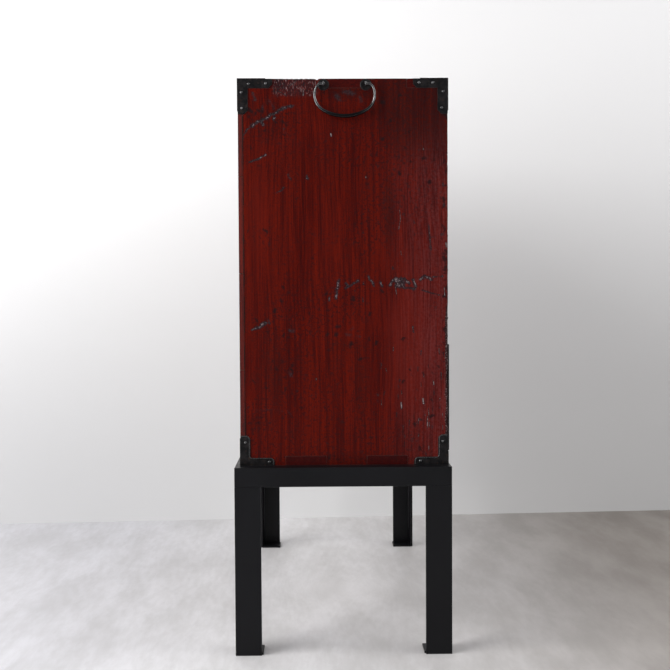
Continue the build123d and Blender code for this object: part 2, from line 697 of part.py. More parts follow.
door_irons = []
outline = angle_plate(front_iron_arm, front_iron_rise, front_iron_width, front_iron_width, False)
corner_place = Plane(origin=(0, front_y, 0), x_dir=(1, 0, 0), z_dir=(0, -1, 0))
free_corner = mirror(corner_place * extrude(outline, plate), about=Plane.YZ)
iron_x = door_right - front_iron_inset
door_irons.append(Pos(iron_x, 0, door_bottom + front_iron_inset) * free_corner)
door_irons.append(Pos(iron_x, 0, door_top - front_iron_inset) * mirror(free_corner, about=Plane.XY))
for z, step in ((door_bottom + front_iron_inset, 1), (door_top - front_iron_inset, -1)):
    door_irons.append(front_nail(iron_x - front_iron_arm + front_nail_inset, z + step * front_iron_width / 2))
    rise_nail_z = z + step * (front_iron_rise - front_nail_inset)
    door_irons.append(front_nail(iron_x - front_iron_width / 2, rise_nail_z))
door_middle_z = (door_bottom + door_top) / 2
door_lock_x = door_right - 52
door_irons += lock_plate(door_lock_x, door_middle_z, door_lock_radius)
for x, z in strap_nail_places:
    door_irons.append(front_nail(x, z, plate + 1.2))
nodes["door_irons"] = group(door_irons)
nodes["door_lock"] = lock_case(door_lock_x, door_middle_z + 30, 56, 60)

os.makedirs("parts", exist_ok=True)
for node_name, shape in nodes.items():
    export_step(shape, f"parts/{node_name}.step")
print(len(nodes), "nodes")
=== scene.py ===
import json
import math
import random

import bmesh
import bpy
import numpy as np
from mathutils import Matrix, Vector


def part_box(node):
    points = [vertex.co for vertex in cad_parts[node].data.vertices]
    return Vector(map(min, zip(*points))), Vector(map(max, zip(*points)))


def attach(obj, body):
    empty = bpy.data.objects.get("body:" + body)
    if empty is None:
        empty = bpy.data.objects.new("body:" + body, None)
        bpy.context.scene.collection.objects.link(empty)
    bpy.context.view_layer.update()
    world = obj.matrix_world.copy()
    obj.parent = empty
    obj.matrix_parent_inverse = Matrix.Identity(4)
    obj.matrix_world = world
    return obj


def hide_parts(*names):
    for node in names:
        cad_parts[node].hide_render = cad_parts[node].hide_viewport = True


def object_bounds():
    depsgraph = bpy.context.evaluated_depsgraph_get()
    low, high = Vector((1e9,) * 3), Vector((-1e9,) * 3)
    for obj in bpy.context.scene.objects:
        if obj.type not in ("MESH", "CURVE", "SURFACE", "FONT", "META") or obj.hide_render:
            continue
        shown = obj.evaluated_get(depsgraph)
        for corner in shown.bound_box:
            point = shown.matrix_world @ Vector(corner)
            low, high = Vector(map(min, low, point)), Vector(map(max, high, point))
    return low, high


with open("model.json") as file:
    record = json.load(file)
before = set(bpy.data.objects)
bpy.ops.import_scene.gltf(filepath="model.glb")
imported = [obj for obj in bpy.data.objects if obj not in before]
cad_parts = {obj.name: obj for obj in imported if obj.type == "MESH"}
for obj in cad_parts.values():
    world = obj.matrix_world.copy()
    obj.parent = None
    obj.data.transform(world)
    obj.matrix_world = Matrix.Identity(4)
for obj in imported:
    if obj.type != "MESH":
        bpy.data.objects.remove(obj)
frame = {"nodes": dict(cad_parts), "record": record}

nodes = frame["nodes"]
low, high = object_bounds()


# ---------------------------------------------------------------- the stand
# Four legs and a ring of rails, cut from rolled steel angle and welded, with a small plate
# under each foot. Satin black paint, slightly orange-peeled, thin where it is rubbed.

def feed(tree, socket, value):
    """Links a socket to another one, or sets it to a number or colour."""
    if isinstance(value, bpy.types.NodeSocket):
        tree.links.new(value, socket)
    else:
        socket.default_value = value


def shader(tree, kind, options=(), **values):
    """A shader node: options are its own settings, and values go to the sockets of those names."""
    made = tree.nodes.new("ShaderNode" + kind)
    for key, value in dict(options).items():
        setattr(made, key, value)
    for key, value in values.items():
        feed(tree, made.inputs[key.replace("_", " ")], value)
    return made


def arithmetic(tree, operation, first, second=0.0):
    """One arithmetic step on masks or heights."""
    made = shader(tree, "Math", {"operation": operation})
    feed(tree, made.inputs[0], first)
    feed(tree, made.inputs[1], second)
    return made.outputs[0]


def times(tree, first, second):
    return arithmetic(tree, "MULTIPLY", first, second)


def plus(tree, first, second):
    return arithmetic(tree, "ADD", first, second)


def facing(tree):
    """The way the surface looks, as a vector."""
    return shader(tree, "NewGeometry").outputs["Normal"]


def spread(tree, value, start, end, to_start=0.0, to_end=1.0):
    """Spreads the stretch from start to end of a value smoothly over another stretch."""
    made = shader(tree, "MapRange", {"interpolation_type": "SMOOTHSTEP"}, Value=value, From_Min=start,
                  From_Max=end, To_Min=to_start, To_Max=to_end)
    return made.outputs["Result"]


def tint(tree, factor, base, over, mode="MIX"):
    """Lays one colour over another by a mask."""
    made = shader(tree, "Mix", {"data_type": "RGBA", "blend_type": mode})
    for number, value in ((0, factor), (6, base), (7, over)):
        feed(tree, made.inputs[number], value)
    return made.outputs[2]


def noise(tree, place, scale, detail=3.0, roughness=0.5):
    """Soft mottling of that many spots per metre."""
    made = shader(tree, "TexNoise", Vector=place, Scale=scale, Detail=detail, Roughness=roughness)
    return made.outputs["Fac"]


def effect(name, inputs, outputs):
    """An empty node group with named inputs and outputs, and its two end nodes."""
    tree = bpy.data.node_groups.new(name, "ShaderNodeTree")
    for label, kind, value in inputs:
        socket = tree.interface.new_socket(label, in_out="INPUT", socket_type="NodeSocket" + kind)
        if value is not None:
            socket.default_value = value
    for label, kind in outputs:
        tree.interface.new_socket(label, in_out="OUTPUT", socket_type="NodeSocket" + kind)
    return tree, tree.nodes.new("NodeGroupInput").outputs, tree.nodes.new("NodeGroupOutput").inputs


def apply_effect(tree, group, **values):
    """Places a node group in a material and returns its outputs."""
    made = tree.nodes.new("ShaderNodeGroup")
    made.node_tree = group
    for key, value in values.items():
        feed(tree, made.inputs[key.replace("_", " ")], value)
    return made.outputs


def build_edge_wear():
    """Mask of edges and corners rubbed bare, broken up by a fine mottling."""
    tree, given, result = effect("edge wear", [("Place", "Vector", None), ("Radius", "Float", 0.002),
                                               ("Grain", "Float", 300.0), ("Amount", "Float", 0.5)],
                                 [("Mask", "Float")])
    rounded = shader(tree, "Bevel", {"samples": 4}, Radius=given["Radius"]).outputs[0]
    same = shader(tree, "VectorMath", {"operation": "DOT_PRODUCT"})
    feed(tree, same.inputs[0], rounded)
    feed(tree, same.inputs[1], facing(tree))
    turned = spread(tree, same.outputs["Value"], 0.995, 0.75)
    speckle = noise(tree, given["Place"], given["Grain"], 4.0, 0.6)
    limit = arithmetic(tree, "SUBTRACT", 1.0, given["Amount"])
    reach = times(tree, turned, plus(tree, speckle, 0.35))
    tree.links.new(spread(tree, arithmetic(tree, "SUBTRACT", reach, limit), -0.08, 0.12), result["Mask"])
    return tree


edge_wear = build_edge_wear()


def new_finish(name):
    """A new material with its tree, its surface shader and the place in the chest's own frame."""
    made = bpy.data.materials.new(name)
    made.use_nodes = True
    tree = made.node_tree
    surface = tree.nodes["Principled BSDF"]
    place = shader(tree, "TexCoord").outputs["Object"]
    return made, tree, surface, place


def set_surface(tree, surface, colour, roughness, gloss):
    """Gives a surface its colour, its roughness and how strongly it shines."""
    feed(tree, surface.inputs["Base Color"], colour)
    feed(tree, surface.inputs["Roughness"], roughness)
    surface.inputs["Specular IOR Level"].default_value = gloss


def raise_relief(tree, surface, height, strength, distance):
    """Fine relief of at most that distance, too small for the mesh."""
    bump = shader(tree, "Bump", Strength=strength, Distance=distance, Height=height)
    tree.links.new(bump.outputs["Normal"], surface.inputs["Normal"])


paint_deep = (0.0026, 0.0026, 0.0032, 1)
paint_thin = (0.0046, 0.0046, 0.0058, 1)
paint_rubbed = (0.045, 0.044, 0.044, 1)


def satin_black_paint():
    made, tree, surface, place = new_finish("satin_black_paint")
    cloud = noise(tree, place, 6.0, 2.0)
    peel = noise(tree, place, 900.0, 2.0)
    rubbed = apply_effect(tree, edge_wear, Place=place, Radius=0.0012, Grain=260.0, Amount=0.45)["Mask"]
    colour = tint(tree, cloud, paint_deep, paint_thin)
    colour = tint(tree, times(tree, rubbed, 0.30), colour, paint_rubbed)
    set_surface(tree, surface, colour, spread(tree, cloud, 0.3, 0.7, 0.30, 0.42), gloss=0.17)
    raise_relief(tree, surface, peel, strength=0.25, distance=0.0002)
    return made


def break_edges(part, width):
    """Rounds every sharp edge a little, as sanding or filing does."""
    broken = part.modifiers.new("broken edges", "BEVEL")
    broken.width = width
    broken.segments = 2
    broken.limit_method = "ANGLE"
    broken.angle_limit = math.radians(35)
    broken.harden_normals = True


weld_reach = 0.00001


def dress(name, finish, edge):
    """Keeps a solid of the frame, breaks its sharp edges by that width and gives it its finish."""
    part = nodes[name]
    if edge:
        weld = part.modifiers.new("joined corners", "WELD")
        weld.merge_threshold = weld_reach
        break_edges(part, edge)
    for place in part.material_slots:
        place.material = finish


stand_paint = satin_black_paint()
for name in ("stand_leg_front_left", "stand_leg_front_right", "stand_leg_back_left", "stand_leg_back_right",
             "stand_long_rails", "stand_end_rails", "stand_foot_plates"):
    dress(name, stand_paint, 0.0008)


# ---------------------------------------------------------------- the case boards
# Sides, top, bottom and front rails of cedar, joined at the corners by through fingers, with
# red lacquer wiped over them so that the grain shows as darker and brighter streaks.

def stretched(tree, place, across):
    """Scales the place along each axis, so that a pattern runs lengthways."""
    return shader(tree, "Mapping", Vector=place, Scale=across).outputs["Vector"]


def build_wood_figure():
    """Broad colour, streaks and fine lines of a board whose grain runs along Z."""
    tree, given, result = effect("wood figure", [("Place", "Vector", None)],
                                 [("Broad", "Float"), ("Streak", "Float"), ("Line", "Float")])
    bend = noise(tree, stretched(tree, given["Place"], (5.0, 5.0, 1.6)), 1.0, 2.0)
    sideways = times(tree, arithmetic(tree, "SUBTRACT", bend, 0.5), 0.05)
    shift = shader(tree, "CombineXYZ", X=sideways, Y=sideways, Z=0.0).outputs[0]
    moved = shader(tree, "VectorMath", {"operation": "ADD"})
    tree.links.new(given["Place"], moved.inputs[0])
    tree.links.new(shift, moved.inputs[1])
    bent = moved.outputs[0]
    tree.links.new(noise(tree, stretched(tree, bent, (14.0, 14.0, 1.6)), 1.0, 4.0), result["Broad"])
    tree.links.new(noise(tree, stretched(tree, bent, (150.0, 150.0, 2.8)), 1.0, 4.0, 0.62), result["Streak"])
    tree.links.new(noise(tree, stretched(tree, bent, (430.0, 430.0, 8.0)), 1.0, 3.0, 0.6), result["Line"])
    return tree


def axis_of(tree, vector, axis):
    """One coordinate of a place or of a facing."""
    return shader(tree, "SeparateXYZ", Vector=vector).outputs[axis]


def build_settled_dust():
    """Mask of thin dust lying on the faces that look up."""
    tree, given, result = effect("settled dust", [("Place", "Vector", None), ("Amount", "Float", 0.3)],
                                 [("Mask", "Float")])
    lying = spread(tree, axis_of(tree, facing(tree), "Z"), 0.6, 0.95)
    cloud = spread(tree, noise(tree, given["Place"], 25.0, 5.0, 0.65), 0.3, 0.75)
    tree.links.new(times(tree, times(tree, lying, cloud), given["Amount"]), result["Mask"])
    return tree


wood_figure = build_wood_figure()
settled_dust = build_settled_dust()


def turned_to_grain(tree, place, along):
    """The place turned so that the board's length lies along Z."""
    if along == "Z":
        return place
    axes = shader(tree, "SeparateXYZ", Vector=place).outputs
    if along == "X":
        return shader(tree, "CombineXYZ", X=axes["Z"], Y=axes["Y"], Z=axes["X"]).outputs[0]
    return shader(tree, "CombineXYZ", X=axes["X"], Y=axes["Z"], Z=axes["Y"]).outputs[0]


lacquer_deep = (0.033, 0.0014, 0.0010, 1)
lacquer_bright = (0.110, 0.0052, 0.0009, 1)
lacquer_dark = (0.020, 0.0034, 0.0036, 1)
lacquer_worn = (0.050, 0.030, 0.027, 1)
lacquer_spot = (0.016, 0.0075, 0.0085, 1)
lacquer_end_grain = (0.024, 0.0022, 0.0024, 1)
house_dust = (0.16, 0.13, 0.12, 1)


def mixture(tree, *parts):
    """Adds patterns up, each by its own share."""
    total = times(tree, *parts[0])
    for pattern, share in parts[1:]:
        total = plus(tree, total, times(tree, pattern, share))
    return total


def lacquer_colour(tree, place, along):
    """Colour of the lacquered board, and the stain mask that dulls it."""
    figure = apply_effect(tree, wood_figure, Place=turned_to_grain(tree, place, along))
    grit = noise(tree, place, 420.0, 2.0, 0.7)
    mixed = mixture(tree, (figure["Streak"], 0.36), (figure["Broad"], 0.07), (figure["Line"], 0.26),
                    (grit, 0.20))
    colour = tint(tree, spread(tree, mixed, 0.34, 0.565), lacquer_deep, lacquer_bright)
    colour = tint(tree, spread(tree, figure["Line"], 0.54, 0.78, 0.0, 0.45), colour, lacquer_deep)
    stain = spread(tree, noise(tree, place, 12.0, 6.0, 0.7), 0.55, 0.74)
    colour = tint(tree, times(tree, stain, 0.35), colour, lacquer_dark)
    patchy = spread(tree, noise(tree, place, 6.5, 3.0, 0.6), 0.40, 0.62)
    mottle = spread(tree, noise(tree, place, 150.0, 5.0, 0.68), 0.50, 0.63)
    mottle = times(tree, mottle, spread(tree, patchy, 0.0, 1.0, 0.26, 0.88))
    colour = tint(tree, mottle, colour, lacquer_dark)
    spot = spread(tree, noise(tree, place, 88.0, 3.0, 0.55), 0.62, 0.70)
    colour = tint(tree, times(tree, times(tree, spot, patchy), 0.75), colour, lacquer_spot)
    return colour, stain, figure


def finish_lacquer(tree, surface, place, colour, stain, figure, wear=0.42):
    """Edges, dust, sheen and fine relief that every lacquered board shares."""
    rubbed = apply_effect(tree, edge_wear, Place=place, Radius=0.0025, Grain=230.0, Amount=wear)["Mask"]
    colour = tint(tree, times(tree, rubbed, 0.7), colour, lacquer_worn)
    dusty = apply_effect(tree, settled_dust, Place=place, Amount=0.18)["Mask"]
    colour = tint(tree, dusty, colour, house_dust)
    cloud = spread(tree, figure["Broad"], 0.3, 0.7, 0.34, 0.44)
    dull = plus(tree, cloud, mixture(tree, (stain, 0.12), (dusty, 0.4)))
    set_surface(tree, surface, colour, dull, gloss=0.065)
    relief = mixture(tree, (figure["Streak"], 0.6), (figure["Line"], 0.35))
    raise_relief(tree, surface, relief, strength=0.5, distance=0.0005)


def build_bruise():
    """Masks of short upright tears, pale and dark, under the top edge of the left end."""
    tree, given, result = effect("bruise", [("Place", "Vector", None)],
                                 [("Pale", "Float"), ("Dark", "Float")])
    axes = shader(tree, "SeparateXYZ", Vector=given["Place"]).outputs
    hit = spread(tree, axes["X"], low.x + 0.08, low.x + 0.04)
    for start, end in ((bruise_front, bruise_front + 0.020), (bruise_back, bruise_back - 0.010)):
        hit = times(tree, hit, spread(tree, axes["Y"], start, end))
    hit = times(tree, hit, spread(tree, axes["Z"], bruise_foot, bruise_foot + 0.014))
    tears = noise(tree, stretched(tree, given["Place"], (330.0, 330.0, 90.0)), 1.0, 5.0, 0.68)
    tree.links.new(times(tree, hit, spread(tree, tears, 0.54, 0.65)), result["Pale"])
    tree.links.new(times(tree, hit, spread(tree, tears, 0.56, 0.44)), result["Dark"])
    return tree


bruise_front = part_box("side_board_left")[0].y + 0.276
bruise_back = bruise_front + 0.106
bruise_foot = high.z - 0.044
bruise = build_bruise()
bruise_dark = (0.013, 0.009, 0.011, 1)
bruise_pale = (0.185, 0.150, 0.155, 1)


def bruised(tree, place, colour):
    torn = apply_effect(tree, bruise, Place=place)
    colour = tint(tree, times(tree, torn["Dark"], 0.9), colour, bruise_dark)
    return tint(tree, times(tree, torn["Pale"], 0.85), colour, bruise_pale)


def red_lacquer(name, along, end_shade=0.75):
    made, tree, surface, place = new_finish(name)
    colour, stain, figure = lacquer_colour(tree, place, along)
    sideways = arithmetic(tree, "ABSOLUTE", axis_of(tree, facing(tree), along))
    end_grain = spread(tree, sideways, 0.7, 0.95)
    colour = tint(tree, times(tree, end_grain, end_shade), colour, lacquer_end_grain)
    finish_lacquer(tree, surface, place, bruised(tree, place, colour), stain, figure, wear=0.34)
    return made


upright_lacquer = red_lacquer("red_lacquer_upright", "Z")
level_lacquer = red_lacquer("red_lacquer_level", "X")
dress("side_board_right", upright_lacquer, 0.0012)
# The top board's end grain is darkened partly as painted shade between the end handles' pins.
dress("top_board", red_lacquer("red_lacquer_top", "X", end_shade=0.6), 0.0010)
dress("bottom_board", level_lacquer, 0.0010)
for name in ("tier_rail_lower", "tier_rail_middle", "tier_rail_upper", "small_drawer_rail"):
    dress(name, level_lacquer, 0.0006)


# ---------------------------------------------------------------- the left end board
# The wide board that takes the knocks: lacquer scraped by moving and by ropes, the front edge
# rubbed and chipped down to the wood, and a bite out of the top edge beside the handle.
# Places on it are (distance behind its front edge, height above the chest's base), in millimetres.

(board_outer, board_front, board_base), (_, board_rear, board_top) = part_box("side_board_left")
board_tall = round((board_top - board_base) * 1000)
body_of = {}
for body, names in frame["record"]["behaviour"]["bodies"].items():
    for name in names:
        body_of[name] = body


def add_piece(name, mesh, finish, stands_for):
    """A piece of the scene that rides on the body of the nodes it stands for."""
    mesh.materials.append(finish)
    made = bpy.data.objects.new(name, mesh)
    bpy.context.scene.collection.objects.link(made)
    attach(made, body_of[stands_for[0]])
    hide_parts(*stands_for)
    return made


def cut_board(board, axis, places):
    """Cuts a board by planes across one axis."""
    normal = Vector((axis == 0, axis == 1, axis == 2))
    for place in places:
        everything = board.verts[:] + board.edges[:] + board.faces[:]
        bmesh.ops.bisect_plane(board, geom=everything, dist=plane_skin, plane_co=normal * place,
                               plane_no=normal)


def steps_between(start, end, size):
    """Even steps between two places, without the places themselves."""
    count = max(1, round(abs(end - start) / size))
    return [start + (end - start) * number / count for number in range(1, count)]


plane_skin = 0.00002
same_place = 0.000001
flat_angle = 0.01
cell = 0.0036
worn_strip = 0.016
worn_depths = (0.0014, 0.003, 0.006)
worn_cell = 0.0014
mark_cuts = 2
board = bmesh.new()
board.from_mesh(nodes["side_board_left"].data)
bmesh.ops.remove_doubles(board, verts=board.verts, dist=same_place)
bmesh.ops.dissolve_limit(board, angle_limit=flat_angle, verts=board.verts, edges=board.edges)
cut_board(board, 2, steps_between(board_base, board_top, cell))
cut_board(board, 0, [board_outer + depth for depth in worn_depths])
cut_board(board, 1, steps_between(board_front, board_front + worn_strip, worn_cell)
          + steps_between(board_front + worn_strip, board_rear, cell))

# Dark scrapes: lines of places, half the width, strength.
scrapes = [
    ([(245, 365), (242, 383), (238, 405)], 3.2, 1.0), ([(222, 388), (209, 395), (196, 403)], 2.7, 0.9),
    ([(222, 398), (219, 390)], 2.7, 0.9), ([(184, 400), (184, 396)], 2.2, 0.8),
    ([(173, 413), (171, 405), (165, 402), (161, 391)], 2.5, 0.8), ([(148, 400), (142, 389)], 2.4, 0.9),
    ([(128, 392), (120, 403), (112, 407)], 3.2, 1.0),
    ([(111, 402), (98, 406), (99, 392), (111, 393)], 4.8, 1.1), ([(94, 405), (84, 396)], 2.8, 0.9),
    ([(77, 405), (70, 391)], 3.0, 1.0), ([(94, 387), (73, 385)], 2.7, 0.9),
    ([(59, 405), (52, 412), (42, 410), (36, 405)], 3.4, 1.0), ([(35, 410), (11, 412)], 2.0, 0.7),
    ([(58, 382), (38, 376), (19, 371)], 1.8, 0.7), ([(120, 432), (119, 429)], 2.0, 0.8),
    ([(259, 368), (259, 361)], 2.4, 0.8), ([(186, 364), (185, 358)], 2.0, 0.7),
    ([(338, 782), (355, 778), (367, 771), (382, 763), (396, 754), (411, 748), (423, 740)], 3.4, 0.95),
    ([(423, 740), (434, 732), (444, 718)], 2.5, 0.7), ([(376, 758), (378, 753)], 3.4, 0.9),
    ([(402, 746), (400, 741)], 3.3, 0.9), ([(430, 661), (413, 667), (395, 677)], 2.1, 1.0),
    ([(428, 297), (414, 303)], 2.6, 0.9), ([(414, 303), (399, 312)], 3.8, 1.1),
    ([(372, 595), (362, 600), (357, 606)], 2.0, 0.7), ([(347, 631), (342, 626)], 3.0, 0.6),
    ([(306, 632), (305, 624)], 3.2, 0.65), ([(355, 732), (354, 725)], 2.7, 0.6),
]
# Pale chips and long thin scratches down to the ground of the lacquer.
chips = [
    ([(115, 391), (112, 373)], 0.8, 0.9), ([(110, 398), (109, 393)], 1.2, 0.9),
    ([(101, 402), (100, 395)], 1.0, 0.8), ([(86, 401), (84, 397)], 1.1, 0.9),
    ([(74, 402), (71, 395)], 1.4, 1.1), ([(172, 409), (172, 405)], 0.9, 0.8),
    ([(204, 383), (203, 380)], 1.0, 0.8), ([(103, 584), (105, 556)], 0.6, 0.6),
    ([(105, 556), (103, 537), (107, 515)], 0.7, 1.0), ([(40, 508), (39, 491)], 0.7, 1.0),
    ([(103, 468), (101, 458)], 0.7, 0.9), ([(146, 142), (146, 131)], 0.9, 0.8),
    ([(138, 162), (141, 152)], 0.8, 0.8), ([(103, 136), (102, 124)], 1.4, 1.1),
    ([(55, 144), (54, 134)], 1.5, 1.3), ([(32, 183), (31, 175)], 1.3, 1.0),
    ([(43, 123), (42, 107)], 0.7, 1.0), ([(45, 94), (45, 81)], 0.7, 1.1),
    ([(59, 181), (59, 172)], 0.8, 0.9), ([(66, 214), (66, 205)], 1.0, 0.9),
    ([(75, 111), (75, 101)], 0.6, 0.7), ([(12, 113), (12, 104)], 0.7, 0.9),
    ([(12, 86), (12, 76)], 0.7, 0.9), ([(96, 50), (96, 40)], 0.6, 0.8), ([(72, 505), (72, 500)], 0.8, 0.8),
    ([(8, 388), (7, 370)], 0.8, 1.0), ([(4, 485), (3, 476)], 1.3, 1.2),
    ([(288, 190), (288, 186)], 1.3, 0.9), ([(254, 722), (253, 717)], 1.5, 1.2),
    ([(178, 629), (178, 626)], 1.1, 1.0), ([(53, 690), (53, 687)], 1.1, 0.9),
    ([(385, 762), (372, 768), (352, 778)], 1.0, 0.8), ([(418, 744), (402, 751), (395, 756)], 0.9, 0.7),
    ([(348, 803), (372, 816)], 1.0, 0.7), ([(328, 836), (346, 822)], 1.0, 0.8),
    ([(313, 816), (313, 804)], 1.2, 1.0),
]
# Short flecks follow the grain of the lower front, where feet and other furniture have struck.
striking = random.Random(31)
fleck_count, fleck_reach = 34, 62
fleck_lowest, fleck_highest = 30, 300
for number in range(fleck_count):
    start = (abs(striking.gauss(0, fleck_reach)) + 4, striking.uniform(fleck_lowest, fleck_highest))
    end = (start[0] + striking.uniform(-1.5, 1.5), start[1] + striking.uniform(4, 13))
    if number % 2:
        chips.append(([start, end], striking.uniform(0.5, 1.1), striking.uniform(0.7, 1.05)))
    else:
        scrapes.append(([start, end], striking.uniform(1.0, 1.9), striking.uniform(0.7, 1.0)))

# Dull grey spots where something stuck to the lacquer: place, half width, strength.
smudges = [
    ([(422, 810), (421, 806)], 3.2, 0.8), ([(418, 799), (417, 795)], 3.4, 0.9),
    ([(387, 795), (385, 789)], 3.2, 0.7), ([(401, 781), (400, 774)], 3.0, 0.7),
    ([(381, 784), (376, 776)], 4.0, 0.6), ([(372, 830), (356, 822)], 7.0, 0.8),
    ([(240, 803), (236, 797)], 6.0, 0.8), ([(224, 812), (206, 808)], 5.5, 0.8),
    ([(190, 800), (188, 792)], 4.5, 0.7), ([(42, 523), (39, 495), (38, 476)], 1.8, 1.0),
    ([(38, 476), (37, 470)], 2.6, 1.0), ([(38, 470), (38, 457)], 1.2, 0.6),
    ([(34, 497), (24, 499)], 1.4, 0.7), ([(14, 503), (10, 503)], 2.6, 1.0),
    ([(98, 549), (97, 546)], 2.2, 0.8), ([(63, 604), (62, 600)], 2.2, 0.7),
    ([(75, 532), (72, 528)], 2.4, 0.8), ([(120, 433), (120, 429)], 2.2, 0.8),
    ([(11, 613), (10, 608)], 2.6, 0.9), ([(9, 570), (8, 565)], 2.4, 0.9),
    ([(155, 155), (154, 152)], 2.6, 0.9), ([(155, 142), (154, 136)], 2.0, 0.8),
    ([(62, 102), (61, 98)], 2.8, 0.8), ([(96, 66), (95, 60)], 2.2, 0.8), ([(119, 56), (118, 50)], 2.2, 0.6),
    ([(79, 56), (78, 50)], 3.0, 0.7), ([(49, 24), (48, 20)], 2.2, 0.8), ([(36, 86), (35, 80)], 2.4, 0.8),
    ([(110, 174), (109, 170)], 2.2, 0.7), ([(68, 166), (67, 162)], 2.0, 0.7),
    ([(40, 68), (40, 54)], 1.3, 0.8), ([(392, 318), (389, 311)], 3.0, 0.8),
    ([(347, 296), (336, 293)], 3.6, 0.8), ([(222, 287), (214, 285)], 3.4, 0.7),
    ([(212, 296), (206, 302)], 2.6, 0.6), ([(199, 283), (192, 280)], 3.0, 0.6),
    ([(346, 204), (342, 196)], 3.6, 0.8), ([(306, 632), (304, 624)], 3.2, 0.8),
    ([(347, 634), (342, 624)], 3.4, 0.7), ([(447, 716), (446, 712)], 4.0, 1.0),
    ([(447, 677), (447, 672)], 3.0, 1.0), ([(448, 655), (447, 651)], 2.4, 0.9),
    ([(434, 121), (395, 122), (357, 120)], 1.6, 0.6), ([(352, 120), (345, 112)], 2.0, 0.6),
]
# Wide darker places (strength above nothing) and brighter ones (below nothing): the brighter ones are painted
# light, and the darker ones round the handle are painted shade: (behind, above), half width, half height,
# strength.
light_and_dark_places = [
    ((66, 790), 125, 165, 1.0), ((18, 700), 26, 150, 0.4), ((130, 560), 20, 110, 0.7),
    ((452, 412), 26, 24, 0.6), ((380, 205), 42, 135, 0.5), ((222, 262), 52, 20, 0.35),
    ((425, 92), 44, 30, 0.45), ((392, 745), 60, 60, 0.35), ((222, 818), 72, 34, 0.8),
    ((190, 185), 26, 100, 0.4), ((225, 10), 220, 22, 0.4), ((78, 250), 72, 190, -0.8),
    ((410, 540), 34, 150, -0.45), ((250, 470), 60, 150, -0.3), ((150, 330), 60, 60, -0.2),
]

# Small dark stains, gathered where the board was handled and got wet:
# (behind, above), how far they scatter each way, and how many.
stains = []
staining = random.Random(23)
gathered = ((405, 765, 26, 30, 24), (385, 200, 30, 80, 18), (80, 730, 45, 50, 26), (215, 275, 24, 16, 12),
            (230, 420, 120, 230, 44), (60, 150, 40, 70, 16), (4, 420, 3, 210, 60))
for across, above, reach_across, reach_above, count in gathered:
    for number in range(count):
        start = (staining.gauss(across, reach_across), staining.gauss(above, reach_above))
        end = (start[0] + staining.uniform(-6, 6), start[1] - staining.uniform(1, 8))
        stains.append(([start, end], staining.uniform(1.4, 4.0), staining.uniform(0.35, 1.0)))


def nearness(behind, height, marks):
    """How strongly the marks reach each place: full on a line, nothing at twice its half width."""
    reach = np.zeros(len(behind))
    for line, half, strength in marks:
        for (u0, v0), (u1, v1) in zip(line, line[1:]):
            run = np.array((u1 - u0, v1 - v0))
            along = ((behind - u0) * run[0] + (height - v0) * run[1]) / max(run @ run, 1e-6)
            along = np.clip(along, 0, 1)
            away = np.hypot(behind - u0 - along * run[0], height - v0 - along * run[1])
            reach = np.maximum(reach, strength * np.clip(1 - away / (2 * half), 0, 1))
    return reach


def refine_near(board, marks, margin):
    """Divides the faces of the outer side that lie near fine marks, to keep the marks crisp."""
    outer = [face for face in board.faces if face.normal.x < -0.9]
    middles = np.array([face.calc_center_median()[:] for face in outer])
    wide = [(line, half + margin, 1.0) for line, half, _ in marks]
    near = nearness((middles[:, 1] - board_front) * 1000, (middles[:, 2] - board_base) * 1000, wide) > 0.5
    edges = {edge for face, chosen in zip(outer, near) if chosen for edge in face.edges}
    bmesh.ops.subdivide_edges(board, edges=list(edges), cuts=mark_cuts, use_grid_fill=True)


refine_near(board, scrapes + chips, 2.0)
bmesh.ops.triangulate(board, faces=[face for face in board.faces if len(face.verts) > 4])
board_mesh = bpy.data.meshes.new("left_end_board")
board.to_mesh(board_mesh)
board.free()
places = np.zeros(len(board_mesh.vertices) * 3)
board_mesh.vertices.foreach_get("co", places)
places = places.reshape(-1, 3)
behind = (places[:, 1] - board_front) * 1000
height = (places[:, 2] - board_base) * 1000
inward = (places[:, 0] - board_outer) * 1000
face_skin = 0.05
on_face = inward < face_skin
scar = np.where(on_face, nearness(behind, height, scrapes), 0)
chip = np.where(on_face, nearness(behind, height, chips), 0)
smudge = np.where(on_face, nearness(behind, height, smudges), 0)
stain = np.where(on_face, nearness(behind, height, stains), 0)
# Painted light and shade over the wide places: below nothing painted light, above nothing darker, with
# painted shade round the handle.
light_and_dark = np.zeros(len(behind))
for (across, above), half_width, half_height, strength in light_and_dark_places:
    away = ((behind - across) / half_width) ** 2 + ((height - above) / half_height) ** 2
    light_and_dark += strength * np.clip(1 - away, 0, 1)

# Knocks along the front edge: place, half length and depth, deepest over the lower half.
knocks = random.Random(5)
knock_count = 64
lower_edge, whole_edge = (60, 350), (60, 780)
edge_loss = 0.35 + 0.25 * np.sin(height / 37) * np.sin(height / 11.3)
for number in range(knock_count):
    where = knocks.uniform(*(lower_edge if number % 3 else whole_edge))
    half = knocks.uniform(2.5, 11)
    depth = knocks.uniform(0.4, 2.6) * (1.0 if where < lower_edge[1] else 0.6)
    edge_loss = np.maximum(edge_loss, depth * np.clip(1 - ((height - where) / half) ** 2, 0, 1))
edge_round = 2.2
edge_sink = 0.0008
from_edge = np.maximum(behind, inward)
near_edge = np.clip(1 - from_edge / (edge_round + edge_round * edge_loss), 0, 1) ** 1.5
places[:, 0] += near_edge * edge_loss * edge_sink
places[:, 1] += near_edge * edge_loss * edge_sink

